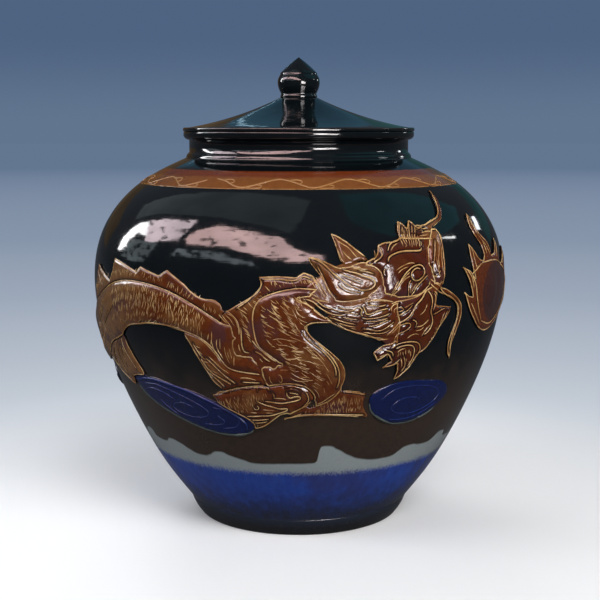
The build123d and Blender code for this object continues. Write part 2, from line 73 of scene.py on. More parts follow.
FOOT_RADIUS = 119.5
STAND_INNER = 92.0
STAND_OUTER = 109.0
WALL_THICKNESS = 10
BORE_RADIUS = RING_OUTER + 3.0
NECK_RADIUS = 117.5
NECK_COVE_TOP = SHOULDER + 6
LIP_FOOT = RIM_TOP - 9
LIP_EDGE = RIM_TOP - 5
LID_EDGE_TOP = RIM_TOP + 4
LID_LAND = 118.0
LID_UNDER = LID_TOP - 8
LID_HOLLOW = 3.6
RING_INNER = RING_OUTER - 7
KNOB_SEAT = 20.0
KNOB_FOOT = 19.6
KNOB_BALL = [(18.4, 3.8), (20.6, 8), (22.5, 15.5), (21.8, 20.5), (20.0, 24.0)]
KNOB_CREASE = [(19.6, 24.6), (19.7, 25.4)]
KNOB_CAP = (19.4, 26.2)
WALL = [(119.5, FOOT_TOP), (147.64, 58.13), (176.28, 109.79), (201.91, 170.06), (216.99, 225.41),
        (220, 266), (212.58, 305), (193.27, 338), (167.04, 362), (121, SHOULDER)]
WALL_COLUMNS = 256
FOOT_COLUMNS = 192
LID_COLUMNS = 224
KNOB_COLUMNS = 96

# Reliefs: how far each rises, how wide its rounded rim is, and its glaze

RELIEFS = {
    "dragon_trunk": (4.0, 11, "amber"), "dragon_back_crest": (2.4, 4, "amber"),
    "dragon_nape_crest": (2.4, 4, "amber"), "dragon_chest": (4.6, 9, "amber"),
    "dragon_foreleg": (3.2, 7, "amber"), "dragon_forepaw": (4.4, 7, "amber"),
    "dragon_far_foreleg": (2.0, 4, "amber"), "dragon_hind_leg": (3.2, 6, "amber"),
    "dragon_skull": (6.0, 9, "deep amber"), "dragon_snout": (6.6, 7, "amber"),
    "dragon_ear": (5.4, 7, "amber"), "dragon_horn": (4.0, 4, "amber"),
    "dragon_brow_tuft": (4.0, 4, "amber"), "dragon_mane": (4.4, 7, "amber"),
    "dragon_jaw": (5.0, 6, "deep amber"), "dragon_upper_whisker": (2.4, 2.6, "amber"),
    "dragon_lower_whisker": (2.4, 2.6, "amber"), "dragon_rear_trunk": (4.0, 11, "amber"),
    "dragon_rear_crest": (2.4, 4, "amber"), "dragon_rear_leg": (3.2, 6, "amber"),
    "dragon_tail": (3.2, 6, "amber"), "pearl_flames": (2.6, 4, "pearl"), "flaming_pearl": (4.4, 22, "pearl"),
    "cloud_left": (1.6, 4, "cobalt"), "cloud_right": (1.6, 4, "cobalt"), "cloud_side": (1.6, 4, "cobalt"),
    "cloud_back": (1.6, 4, "cobalt"), "cloud_far": (1.6, 4, "cobalt"),
}

# Their outlines in azimuths and heights: a run of one point is a corner, a longer run is smooth

OUTLINES = {
    "dragon_trunk": [
        [(-72, 240), (-65, 251), (-58, 263), (-50, 270), (-42, 270), (-34, 265), (-26, 253), (-19.5, 239)],
        [(-16.4, 237)], [(-15.8, 225), (-16.2, 218), (-15.2, 208), (-12.6, 207), (-10.6, 202), (-9.6, 191)],
        [(-15, 192.5), (-18.2, 196), (-20, 205), (-22, 215.5), (-25, 223.5), (-30, 229.5)],
        [(-35, 231.5), (-40, 231.5), (-45, 229), (-50, 225), (-54, 215)],
        [(-58, 209), (-63, 202.5), (-67, 193), (-71, 184), (-77, 175), (-84, 170)], [(-84, 212)],
    ],
    "dragon_back_crest": [
        [(-70.5, 258), (-68, 280)], [(-62, 272)], [(-58.4, 267.5)], [(-57, 277.5), (-56.5, 290)],
        [(-51, 286), (-45.5, 280.5)], [(-44, 285.5)], [(-40.5, 282), (-37, 279)], [(-34.5, 285)],
        [(-29, 273), (-23, 260.5), (-20.7, 260), (-19, 256)], [(-18.2, 249.5)], [(-19.2, 240.5)],
        [(-25.9, 254.5), (-34, 266.5), (-42, 271.5), (-50, 271.5), (-58, 264.5), (-65, 252.5),
         (-71.8, 242)],
    ],
    "dragon_nape_crest": [
        [(-15.5, 255), (-12, 263), (-9.8, 270), (-9.1, 276.5), (-9.7, 282.5)], [(-5, 283.5), (-0.6, 282.5)],
        [(1.2, 287)], [(3.4, 284), (5.2, 272.5)],
        [(0, 273.5), (-6, 269), (-10.3, 260), (-11.4, 250), (-11.3, 231), (-10.2, 217.5), (-7.8, 209.5),
         (-5.2, 202)],
        [(-8.5, 199.5), (-10, 206), (-11.6, 209), (-14, 209), (-15, 218.5), (-14.7, 231), (-15.1, 241),
         (-17.6, 250)],
    ],
    "dragon_chest": [
        [(-6.9, 209), (-9.5, 217), (-10.6, 231), (-10.7, 250), (-9.7, 259), (-6, 268), (0, 272.5),
         (4.6, 271)], [(2.5, 266), (-0.6, 263)], [(3, 254.5), (5.8, 246.5), (7.9, 240.5)],
        [(5, 240.5), (2.8, 239.5), (1.5, 236.5)],
        [(3, 228), (6, 218.5), (9, 209), (11, 200.5), (12, 189.5), (11.5, 180), (9.4, 168), (6.8, 161.5),
         (4.4, 158.5)], [(4.7, 166), (3.6, 174.5), (0.6, 180.5), (-3, 182), (-7.9, 179.5)],
        [(-9, 190), (-9.1, 197.5)], [(-6.2, 197), (-3.9, 200.5)],
    ],
    "dragon_foreleg": [
        [(-25.2, 221.5), (-22.4, 213.5), (-20.4, 203), (-18.5, 194.5), (-15, 190.5), (-9.6, 188)],
        [(-8.7, 180)], [(-12, 179), (-16, 176.5), (-20.3, 171.5)],
        [(-23, 180), (-25, 193), (-26.5, 203), (-28.5, 217.5), (-30.2, 227)],
    ],
    "dragon_forepaw": [
        [(-21, 169), (-16, 174.5), (-12, 177), (-8, 177.8), (-3, 180.2), (0, 179), (2.8, 173), (3.8, 166),
         (1.6, 158.5), (-2, 152), (-5, 149)], [(-7.2, 143), (-9.5, 137), (-12.6, 133)],
        [(-12.6, 139), (-15, 145), (-18, 151), (-22, 158.5), (-24.2, 165.5)],
    ],
    "dragon_far_foreleg": [
        [(13, 173), (18.6, 169.5)], [(18.3, 162.5), (18.5, 155), (20.2, 146)], [(20, 142)],
        [(15, 145), (10, 146.8), (5, 147.5), (0, 146.8), (-4.2, 143)], [(-1.2, 151.5), (2, 157)],
        [(4.4, 156.5), (7.2, 160.5), (9.8, 167), (11.4, 173.5)],
    ],
    "dragon_hind_leg": [
        [(-57.8, 207.5), (-62.8, 201), (-66.6, 192), (-69.6, 184.5)],
        [(-66, 179.5), (-61, 170), (-55.2, 161.5)], [(-55, 170.8)], [(-51.4, 175.2), (-48, 177.5)],
        [(-50, 188), (-51.8, 198), (-53, 207), (-53.9, 213)],
    ],
    "dragon_skull": [
        [(17.9, 296.5), (19.4, 301.5), (20, 309.5)], [(22, 311.5), (24.4, 312), (26.4, 314)],
        [(30, 313), (34.2, 312.5)], [(33.6, 300), (33.2, 289.5), (33.7, 277), (34.8, 269.5)],
        [(32.6, 267), (29.8, 263), (24.6, 262)], [(20.8, 265.5), (20.6, 276), (19.8, 287), (16.2, 293)],
    ],
    "dragon_snout": [
        [(34.6, 280), (34.1, 289.5), (34.5, 300), (35.4, 312), (36.8, 319.5)],
        [(39, 319), (40, 313), (39.6, 300), (39.1, 285), (38.2, 272.5)], [(36.8, 271.5), (35.4, 271.5)],
    ],
    "dragon_ear": [
        [(5.8, 297), (10.2, 290), (15.4, 291), (19.2, 286), (20, 276), (17.6, 266), (13, 261.5), (8.8, 262),
         (6.8, 271), (5, 284), (2.4, 300)],
    ],
    "dragon_horn": [
        [(9.9, 299), (9.3, 308), (8.2, 321)], [(12, 313), (15, 304), (17.4, 297.5)],
        [(14, 294.5), (10.6, 291.5)],
    ],
    "dragon_brow_tuft": [
        [(26.4, 321), (27.2, 329.5)], [(28.6, 326.5), (29.4, 323)], [(30.8, 330)], [(32, 327), (32.6, 323)],
        [(34.6, 324.5)], [(34.4, 319), (34.3, 314.5)], [(30, 315), (26.6, 316)],
    ],
    "dragon_mane": [
        [(3, 263.5), (6, 261.5), (8.4, 259.5), (12.6, 258.5), (17.8, 261.5), (21, 260.5), (23.8, 258)],
        [(23.6, 250), (24.6, 237.5), (24.2, 223)],
        [(20, 222), (16, 228), (12, 232.5), (9.3, 238.5), (6.7, 248.5), (3.5, 257), (-0.1, 263.5)],
    ],
    "dragon_jaw": [
        [(29.8, 261), (32.8, 265), (34.6, 267.5)], [(36.2, 262.5), (35.6, 251.5)], [(38, 250), (41.4, 248)],
        [(39.4, 237.5), (37, 226), (34.4, 212), (32, 206)], [(29.6, 192.5), (25.8, 180.5)],
        [(26.2, 190), (25.8, 198)], [(21.8, 193.5)], [(24, 201)], [(22.8, 208), (20, 202)],
        [(18.8, 210), (21, 216), (24.8, 220)], [(25.4, 237.5), (24.4, 250), (24.5, 260.5)],
    ],
    "dragon_upper_whisker": [
        [(38.4, 329), (42.2, 333.5), (44.2, 341.5), (45.2, 348), (46.8, 356.5)],
        [(46.9, 347.5), (45.8, 339), (43.4, 330), (40.2, 325), (37.8, 321.5)], [(36.2, 321.5), (35.2, 325)],
    ],
    "dragon_lower_whisker": [
        [(39.4, 266), (43, 258), (45.3, 249), (45.7, 238), (44.5, 223), (43.7, 212), (43.9, 201),
         (44.4, 194)],
        [(42.8, 200), (42.2, 212), (42.9, 223), (44, 238), (43.6, 248), (41.4, 255.5), (38.4, 262),
         (37, 268.5)],
    ],
    "dragon_rear_trunk": [
        [(-92, 207), (-101, 211.5), (-110, 229), (-120, 249), (-130, 259), (-140, 255.5), (-150, 239),
         (-158, 216), (-164, 193)], [(-158.4, 172)],
        [(-152, 184.5), (-145, 204.5), (-138, 216), (-130, 219), (-120, 209), (-110, 187), (-101, 170),
         (-92, 166), (-84.3, 170)], [(-84.3, 211.8)],
    ],
    "dragon_rear_crest": [
        [(-106, 246)], [(-112, 249), (-117, 248)], [(-120, 273.5)], [(-126, 272.5), (-132, 266.5)],
        [(-136, 285)], [(-141, 275), (-145, 261)], [(-150.5, 268)], [(-154, 247.5), (-157, 229)],
        [(-162.6, 225)], [(-163, 210), (-161.8, 205)],
        [(-158.2, 218.5), (-150.2, 241), (-140, 257.5), (-130, 260.8), (-120, 250.8), (-110, 231),
         (-103.8, 218.5)],
    ],
    "dragon_rear_leg": [
        [(-137.6, 214), (-132, 217)], [(-131.2, 202.5), (-129.4, 189), (-125, 177), (-119, 169)],
        [(-114.6, 168), (-112, 164)], [(-108.4, 154)], [(-112, 155), (-114, 153.5)], [(-111.6, 146.5)],
        [(-117, 148), (-124, 151.5), (-131, 160), (-136, 174), (-139, 192.5), (-141.6, 207.5)],
    ],
    "dragon_tail": [
        [(-168, 176), (-174, 165.5), (-181, 165.5), (-186, 173), (-188.4, 185), (-189, 195)],
        [(-187, 207.5), (-186.6, 220)], [(-189.6, 215.5), (-191, 211.5)],
        [(-192.4, 222.5), (-195.4, 232.5)], [(-195.8, 220), (-196, 209)], [(-199, 214), (-203, 216.5)],
        [(-200, 202.5), (-196, 185), (-192.6, 167.5), (-187, 152.5), (-179, 145), (-170, 147.5),
         (-163, 157.5), (-158.9, 170.5)], [(-164.4, 191)],
    ],
    "pearl_flames": [
        [(48.6, 255.5), (50.4, 254)], [(49.8, 262), (48.4, 272.5), (46.5, 284.5)],
        [(49.5, 279.5), (51.9, 270.5)], [(51, 280), (50.5, 292.5), (50.9, 305.5)],
        [(53, 297), (55, 289), (57, 287.5)],
        [(58, 293.5), (57.4, 303.5), (55.8, 312.5), (55.2, 323), (56.8, 333)],
        [(57.4, 325), (57.8, 317), (60, 308), (62.2, 300), (63, 290.5)], [(66, 293), (69.5, 306)],
        [(69.4, 295), (70, 279)], [(74, 282.5), (80, 295)], [(78.6, 280), (76, 262)],
        [(82, 262.5), (90, 268)],
        [(84, 250), (76, 236.5), (67, 221.5), (60, 215.5), (55.6, 220), (51.6, 232), (48.6, 246),
         (46.8, 260)],
    ],
    "cloud_left": [
        [(-54.4, 169), (-50, 173), (-45, 175), (-40, 173), (-34.6, 169.5), (-30, 166.5), (-25.6, 161),
         (-21.4, 155), (-17.6, 148), (-14.2, 141.5), (-13, 133), (-15, 126.5), (-21, 123), (-27, 124.5),
         (-33, 129.5), (-40, 137), (-46.6, 145.5), (-52, 157.5)],
    ],
    "cloud_right": [
        [(19.6, 163), (23.4, 174), (30.5, 178), (39.4, 175), (46.4, 167), (48.4, 158), (44.6, 143),
         (37, 133), (28.6, 133), (22.2, 144)],
    ],
    "cloud_side": [
        [(-78.4, 158), (-82, 165.5), (-92, 162.5), (-99.6, 165.5), (-104, 169), (-106.6, 162.5),
         (-103, 149), (-94, 139), (-84, 142)],
    ],
    "cloud_back": [
        [(-104.4, 130), (-107, 140), (-112, 144), (-118, 146), (-126, 148.5), (-133, 152.5), (-137, 142.5),
         (-133, 129), (-122, 120), (-110, 121)],
    ],
    "cloud_far": [
        [(128, 157.5), (132, 169), (141, 175), (151, 171), (157, 160), (154, 144), (144, 134),
         (134, 139.5)],
    ],
}

# Trailed lines inside each relief: width in millimetres, then azimuths and heights

LINES = {
    "dragon_trunk": [
        (1.4, (-44, 231.6), (-39.7, 232.8), (-35.3, 231.6), (-31.8, 229), (-29.6, 227.6)),
        (1.0, (-20.2, 224), (-20.4, 215), (-19, 204)), (1.0, (-21.8, 222), (-21.4, 213), (-20.3, 206)),
        (1.0, (-18.4, 217), (-18.2, 209), (-17.4, 200)), (1.0, (-17.2, 215), (-16.8, 205)),
        (1.0, (-19.4, 224.6), (-19.6, 214)), (1.0, (-16.2, 208), (-16.4, 198)),
        (1.0, (-22.2, 217), (-21.6, 224), (-21.4, 231)), (1.0, (-22.8, 222), (-22.2, 229)),
        (1.0, (-17.8, 212), (-17.4, 205)), (1.0, (-25.4, 224.6), (-25.2, 232), (-24.4, 240)),
        (0.9, (-24.4, 223), (-24.2, 231)),
        (1.3, (-82, 190), (-76, 196), (-70, 206), (-65, 219), (-60, 233), (-56, 245)),
        (1.1, (-80, 200), (-73, 210), (-68, 224), (-64, 238)),
    ],
    "dragon_back_crest": [(1.0, (-67.4, 273), (-65.4, 266), (-63, 260))],
    "dragon_nape_crest": [
        (1.2, (-15, 253), (-12.6, 259.5), (-11, 265), (-9.4, 272), (-8.6, 277)),
        (1.2, (-8.6, 280.4), (-4.5, 280.4), (-0.6, 279.8), (1.1, 283), (2.8, 281)),
        (1.2, (-14, 236), (-14, 225), (-13.9, 217), (-13.4, 212.4), (-12.2, 211.4)),
        (1.4, (-11.4, 224), (-10.2, 217.6), (-8.4, 211.4), (-6.8, 206.6), (-5.6, 203.4)),
        (1.2, (-7, 203.4), (-8.2, 206), (-9.4, 210.4), (-10.8, 213.4)),
        (1.1, (-18.8, 246.7), (-17.7, 241.7), (-16.6, 236.7)),
        (1.1, (-17.9, 247), (-16.6, 242.6), (-15.6, 236.4)),
        (1.1, (-17.4, 248), (-16, 245.6), (-15.1, 240.6), (-14.8, 235)),
        (1.0, (-19.6, 247.8), (-18.6, 242.8), (-17.3, 238.3)),
    ],
    "dragon_chest": [
        (0.85, (-7.5, 254.2), (-6, 250), (-4.3, 248.3)),
        (0.9, (-7.1, 248.6), (-5.6, 245), (-3.8, 240), (-2.1, 236.7)),
        (0.85, (-8, 240.8), (-6.9, 238.3), (-5.6, 235.8)), (0.85, (-5.1, 237), (-3.6, 232.5), (-2.1, 230)),
        (0.75, (-3.6, 262.5), (-3, 257.5), (-2.1, 252.5)), (0.75, (-4.4, 257.5), (-3.2, 253), (-2.4, 249)),
        (0.75, (-1, 257.2), (-0.4, 251.7), (0.4, 246.7)), (0.75, (-1.7, 255), (-0.8, 248.3), (-0.2, 244)),
        (0.85, (-1, 241.7), (-0.4, 236.7), (0.5, 231.7)),
        (0.85, (-6.2, 225.6), (-4.7, 226.7), (-3, 225.8), (-0.8, 222.8)),
        (0.75, (-2.5, 233.6), (-0.8, 230.8), (0.4, 229)),
        (0.75, (-2.1, 228.3), (-0.8, 226.7), (0.8, 224.2)),
        (0.85, (-1.9, 215), (-0.4, 214.2), (1.4, 213.3)), (0.85, (-3, 207.5), (-1.2, 207.5), (0.2, 208.8)),
        (0.85, (1.2, 205.8), (2.5, 205), (3.5, 203.3), (4.8, 201.7)),
        (0.95, (-1.9, 202.5), (-0.4, 200.8), (0.9, 198.3), (2.9, 197.9)),
        (0.95, (-2.1, 194.2), (-0.8, 190.8), (0.5, 188.3), (2, 186.7), (3.8, 186.3)),
        (0.85, (2.5, 195), (3.5, 192.5), (4.8, 188.3), (6.1, 185.8)),
        (0.85, (-2.1, 189.2), (-0.8, 186), (0.9, 184.8), (2.2, 180.8)),
        (0.75, (6.8, 193.6), (7.9, 186.7), (8.6, 181.7)), (0.75, (7, 185.8), (7.9, 180.8)),
        (0.75, (-6.6, 234), (-5.4, 231)), (0.75, (-7.6, 233.4), (-6.2, 229.8)),
        (0.75, (-4.8, 221), (-3, 220.4), (-1.4, 218)), (0.75, (-5.6, 216.6), (-3.6, 216.4)),
        (0.75, (-4.6, 211.8), (-2.4, 211.4)), (0.75, (1, 219), (2.4, 216)),
        (0.75, (3, 210.4), (4.8, 207.4)), (0.75, (-6.2, 257.4), (-5.2, 254)),
        (0.75, (-5.4, 262), (-4.6, 258.4)), (0.75, (1, 262), (2, 257.4)), (0.75, (1.4, 255.4), (2.6, 251)),
        (0.75, (0.2, 262.6), (0.9, 255)), (0.75, (-4.8, 243.4), (-3, 241)),
        (0.75, (-2.4, 247), (-1.6, 243.4)),
        (1.6, (4.4, 241.2), (2.7, 239.7), (1.9, 237), (2, 232.6), (2.9, 227.6), (4.2, 222.8), (5.7, 217.2),
         (7.2, 211.8), (8.5, 206.2), (9.5, 200.4), (10.1, 194.6), (10.3, 188.4), (10.2, 182), (9.8, 177.4)),
        (1.2, (0.9, 233.3), (1.6, 227.8), (2.9, 223), (4.4, 218.4), (5.9, 213.8), (7.2, 208.8),
         (8.5, 202.4), (9.2, 196.6), (9.4, 190)),
        (0.85, (1.9, 220), (3, 215), (4.3, 210), (5.6, 205), (6.7, 199.2), (7.6, 194)),
        (0.75, (2.5, 221), (3.8, 215.8), (5.1, 210.8), (6.4, 205)),
        (0.85, (9.6, 172.6), (8, 168.6), (6.4, 164), (4.8, 160.6)),
        (0.85, (3.8, 178), (5, 173), (5.4, 168)), (0.75, (6.4, 178.6), (6.8, 173)),
        (0.75, (-5.8, 194.6), (-4.2, 196), (-2.3, 196.4)),
        (0.85, (-5.4, 190.8), (-4.8, 191.7), (-4.3, 189.2), (-4.2, 185), (-4.7, 184.2), (-5.1, 186.7)),
        (0.75, (-7.4, 193), (-7.2, 186), (-6.6, 182)),
    ],
    "dragon_foreleg": [
        (1.0, (-28.8, 226.8), (-26.8, 225.6), (-24.8, 221.4), (-23, 216), (-21.6, 209.6), (-20.3, 203.6),
         (-19.2, 199)),
        (1.5, (-24, 204.2), (-22.4, 199.2), (-20.9, 193.3), (-19.2, 187.5), (-17.4, 182.5), (-16.4, 180)),
        (1.3, (-25.5, 203.3), (-24.3, 195.8), (-22.9, 190), (-21.1, 185.8), (-19, 181.7), (-17.7, 179)),
        (1.1, (-23.7, 189), (-22.2, 184.8), (-20.7, 180), (-19.8, 176.4)),
        (1.1, (-24.2, 189), (-23.2, 183.3), (-21.8, 177.6)),
        (1.1, (-27.2, 217.6), (-26.1, 210.8), (-25.2, 205.8)),
        (1.0, (-23, 206), (-21.4, 200.6), (-19.8, 194.6), (-17.8, 189.6)),
        (1.0, (-15.4, 186.4), (-13, 186.6), (-10.8, 184.8)),
        (1.1, (-14.8, 182.4), (-12.4, 182.2), (-10, 182)),
    ],
    "dragon_forepaw": [
        (1.3, (-23.3, 165.4), (-22, 168.6), (-19.8, 170.4), (-18.1, 172.6), (-16.4, 174.7), (-14.6, 175.8),
         (-13.2, 175.8)), (1.3, (-12.7, 176.6), (-10.9, 177), (-10.8, 174)),
        (1.3, (-10.2, 176.6), (-8, 176.6), (-7.6, 174)),
        (1.3, (-3.6, 178.6), (-2.1, 179), (-0.6, 178.6), (1, 176), (2.2, 171.7), (2.6, 165.8), (1.6, 160),
         (0.2, 155)), (1.2, (-3, 176.3), (-1.9, 177), (-0.6, 175.6), (0.4, 173.4)),
        (1.5, (-3.2, 174.2), (-2.9, 170), (-2.3, 168.2), (-1, 169.4), (0.2, 169.4), (0.4, 167.4),
         (-0.8, 165.2), (-3, 163.5), (-5.1, 162.7), (-7.3, 163.3), (-9.1, 164.2)),
        (1.3, (-2.6, 173.4), (-1, 172.7), (0.2, 171)), (1.0, (-6.6, 167.6), (-4.6, 167.8), (-3, 166.4)),
        (1.4, (-11.2, 164.2), (-9.2, 160.6), (-7, 158.3), (-4.9, 156.6), (-3.3, 157), (-3.1, 155.4),
         (-4.9, 152.2), (-7.5, 149.6), (-10.3, 148.4), (-12.5, 147.6), (-14.6, 147.2)),
        (1.2, (-13.6, 143.4), (-10.3, 144.2), (-8.3, 145.4)),
        (1.2, (-12.4, 140.6), (-10.3, 141.2), (-8.8, 142.4)), (1.2, (-11.9, 136.6), (-11.5, 139)),
        (1.1, (-12.2, 157.6), (-11.9, 155.2), (-11.1, 155.4), (-10.8, 157.6), (-11.4, 159.6)),
        (1.0, (-9.8, 155.6), (-7.8, 155), (-6, 154.6)), (1.0, (-9, 152.4), (-7, 152)),
        (1.0, (-13.4, 152), (-11.4, 151.4)), (1.1, (-7, 174), (-6.4, 170), (-6.6, 167)),
        (1.0, (-4.6, 177), (-5, 172)),
    ],
    "dragon_far_foreleg": [
        (1.3, (18.2, 168), (14, 171), (12, 172)), (1.5, (18.6, 146.2), (13, 147.8), (6, 149), (0, 148.6)),
        (0.8, (16.8, 165), (16.4, 158)), (0.8, (14.4, 166.6), (14, 157)), (0.8, (12, 168), (11.4, 158)),
        (1.0, (9.6, 164), (8.8, 157)), (1.1, (-2.6, 145.4), (1, 150.6)),
    ],
    "dragon_hind_leg": [
        (1.4, (-54.8, 211), (-54.2, 200), (-52.6, 190), (-50.6, 181)),
        (1.1, (-58, 205), (-59.2, 193), (-58.6, 182), (-57.2, 172)),
        (1.1, (-61.6, 200), (-63, 191), (-63.4, 182)), (1.1, (-56.4, 203), (-56.6, 192), (-55.4, 182)),
        (1.1, (-65.6, 191), (-66.4, 184.6)),
    ],
    "dragon_horn": [
        (1.0, (9.6, 309), (9.9, 303), (10.5, 297), (11.6, 293.4)),
        (1.0, (9.2, 315), (10.6, 311), (12.2, 307.5), (13.5, 301.7), (14.8, 296.8)),
        (1.2, (12.2, 290.8), (13.5, 292.5), (15.2, 294.2), (16.7, 294)),
        (0.9, (10.6, 305), (11.6, 300.6), (12.8, 297)),
    ],
    "dragon_ear": [
        (1.6, (2.4, 299.2), (4.3, 297.5), (6.3, 292.5), (8, 285.8), (10, 280), (11.7, 275), (13.5, 271.7),
         (15.2, 270), (16.9, 270.8), (18, 273.3), (18.2, 276.7), (17.4, 280), (15.6, 282.5), (13.9, 285),
         (12.2, 286.7), (10.6, 288.4)), (1.3, (9.6, 285.4), (11.4, 282.6), (13.2, 279.6), (14.8, 277)),
        (1.2, (4.3, 293.3), (5.4, 285), (6.3, 276.7), (7.2, 268.6), (8.5, 264.4)),
        (1.1, (9.6, 276), (11, 271.6), (12.6, 269.4), (14.6, 268)),
        (1.0, (7.6, 279), (9, 273.4), (10.2, 269)), (1.0, (6, 290), (7.4, 285), (8.8, 279.6)),
        (1.1, (14.4, 287.4), (16.2, 286.4), (18, 284)), (1.0, (12.6, 289.4), (14.6, 288.8), (16.8, 288.2)),
    ],
    "dragon_skull": [
        (1.3, (17.2, 291.6), (18.8, 295), (20.4, 299.2), (20.5, 304.2), (20.2, 308)),
        (1.3, (22.2, 303.4), (23, 308.3), (24.3, 311.4), (26.2, 312.6)),
        (1.0, (22.9, 303), (23.8, 306.9), (25.2, 309.6)),
        (1.6, (21.8, 294), (22.2, 297.6), (23.4, 300), (25, 301.7), (27, 302.4), (29.4, 302.2),
         (31.4, 302.4), (32, 304.8)), (1.2, (20.9, 282), (20.7, 286), (21.4, 290)),
        (1.1, (32.3, 310.6), (32, 305.8)),
        (1.3, (22.4, 262.6), (23.3, 268.2), (24.4, 274.1), (25.8, 280.9), (27.1, 285.2), (28.6, 288.6),
         (30.4, 289.8), (31.5, 287.7), (31.8, 283.5), (31.2, 279.6), (30, 276.6), (28.8, 276.2),
         (28.1, 278.6), (27.9, 281.8), (28.5, 285.2), (29.6, 287), (30.8, 286)),
        (1.0, (23.8, 286), (24.9, 288.6), (26.4, 290.7), (28, 292), (29.4, 291.4)),
        (1.0, (24.2, 283.5), (25.5, 286.9), (27.2, 288.9)),
        (1.0, (24.8, 275.4), (26.2, 280.4), (27.5, 284)),
        (1.0, (24, 269.9), (25.3, 275.8), (26.4, 278.8), (27.6, 280.6)),
        (1.2, (27.3, 260.8), (27, 268.2), (27.2, 274.1), (27.8, 277)),
        (1.3, (27.6, 260.8), (28.4, 264.8), (29.3, 270.7), (30.6, 275), (32, 278.6), (33, 280)),
        (0.9, (27.5, 265), (27.7, 270), (28.2, 274)), (0.9, (27.8, 265.4), (28.6, 270.7), (29.4, 274)),
        (1.0, (22.9, 263.4), (24, 268), (25, 270.4)), (1.0, (22.5, 266), (23.4, 272), (24.4, 277.6)),
        (1.4, (22.6, 256.2), (24, 258), (26, 258.8), (28.6, 260.4), (30.2, 262.2), (31.5, 265.6),
         (32.8, 270.7), (33.8, 275)), (1.0, (18.4, 295.6), (19.2, 301), (19.2, 306)),
    ],
    "dragon_brow_tuft": [
        (1.2, (26.6, 306.4), (26.4, 312.4), (26.8, 319.2), (27.3, 325.1), (27.6, 328)),
        (1.1, (27.3, 308.1), (27.2, 314.1), (27.6, 320), (28.2, 325)),
        (1.1, (28, 308.6), (27.9, 315.8), (28.4, 322.6)),
        (1.1, (28.5, 306), (28.9, 314), (29.3, 321.7), (29.8, 325)),
        (1.2, (29.1, 305), (29.5, 313), (29.7, 319.2), (30.4, 326), (30.8, 328.8)),
        (1.1, (29.7, 306.4), (30.2, 314.1), (30.6, 319.2), (31.1, 325)),
        (1.2, (30.4, 305.4), (30.8, 313.2), (31.5, 319.2), (32, 324.4)),
        (1.1, (31.5, 304.7), (31.7, 309.8), (32, 316)), (1.0, (26.9, 305.6), (27.6, 307), (27.3, 310)),
        (1.0, (30.9, 308), (31.2, 315)), (1.2, (32.1, 324.3), (33.5, 326), (35.3, 325.4), (37.2, 326)),
        (1.2, (32.2, 320.9), (33.9, 322.6), (35.7, 322.6), (37, 322)),
        (1.2, (32.2, 317.5), (33.9, 318.3), (35.7, 319), (37, 318)),
        (1.3, (32.2, 313.8), (33.5, 312.8), (35.3, 312.6), (36.2, 311.5)),
        (1.0, (32.4, 315.6), (34, 315.6), (35.6, 316)),
    ],
    "dragon_snout": [
        (1.4, (38.9, 316), (38.8, 306), (38.5, 292), (38, 280), (37.9, 270)),
        (1.3, (36.6, 310), (35.7, 300.5), (35, 292), (34.8, 285), (35.2, 280.6)),
        (1.0, (37.6, 307), (36.8, 298), (36.4, 291), (36.4, 284)),
        (1.0, (38.1, 305), (37.7, 295.4), (37.4, 286), (37.8, 279)),
        (0.9, (35.9, 296), (35.9, 287), (36.3, 279), (36.9, 273.6)),
        (1.0, (34.6, 278.4), (35.4, 278.6), (36, 276)), (0.9, (37.2, 312), (37.4, 306)),
        (1.2, (35.2, 279), (36.2, 281), (36.6, 284)),
    ],
    "dragon_upper_whisker": [
        (1.2, (35.4, 324.4), (37.6, 327), (40.2, 329.8), (42.4, 333), (44.3, 339.6), (45.2, 345.4),
         (46, 351.4)),
    ],
    "dragon_lower_whisker": [
        (1.4, (33.8, 272.6), (35, 268.6), (36.6, 265), (38.6, 261.4), (40.8, 258), (42.6, 253.6),
         (44, 247.6), (44.3, 240), (43.9, 231), (43.2, 222), (42.9, 212), (43.1, 204)),
        (1.3, (33.9, 276.6), (35.4, 272.6), (37.4, 268.2), (38.6, 266.4)),
    ],
    "dragon_jaw": [
        (1.7, (21.6, 226.7), (23.3, 232.6), (24.9, 237.6), (26.4, 241), (27.8, 245.2), (28.6, 249.5),
         (29.5, 254.6), (30.8, 258.8), (32, 264), (32.7, 266.6)),
        (1.3, (32.8, 266.6), (33.5, 263), (34, 257.6), (34, 251.2), (33.8, 246.1), (34.3, 241),
         (34.5, 236.7), (34.1, 231.6), (33.3, 227.3), (32.2, 224.6)),
        (1.3, (34.9, 263.6), (35.2, 258), (35, 251), (34.6, 246.8)),
        (1.2, (34.6, 243.4), (35.8, 244.8), (37, 246.8), (38.6, 247.6)),
        (1.1, (36.2, 220.5), (37.3, 227.3), (38, 233.6), (38.8, 241.6), (39.4, 245.4)),
        (1.0, (37.4, 234), (37.7, 240), (38.3, 245)),
        (1.4, (22.7, 249.6), (22.5, 252.6), (23.2, 255.4), (24.6, 256.6)),
        (1.1, (23.6, 247.4), (23.4, 250.3), (24.1, 252.4), (25.2, 252.4), (25.7, 250.3), (24.9, 248.8),
         (24.2, 249.2)), (1.1, (24.1, 243.9), (25.4, 246.4), (26.9, 249.7), (28.2, 253.9)),
        (1.0, (25.9, 252), (27.2, 254.4), (28.5, 256.3)),
        (1.3, (24.2, 218.6), (24.1, 223.9), (24.9, 227.3), (26.4, 229.9), (27.7, 232.6), (28, 235.9),
         (27.3, 237.5), (26, 236.6), (24.4, 233.4), (22.8, 228.4)),
        (1.1, (28.2, 240.1), (29.2, 239.3), (29.8, 236), (29.4, 232.4)),
        (1.0, (29.8, 233), (31.3, 233.8), (32.4, 236.7), (33.2, 239.3)),
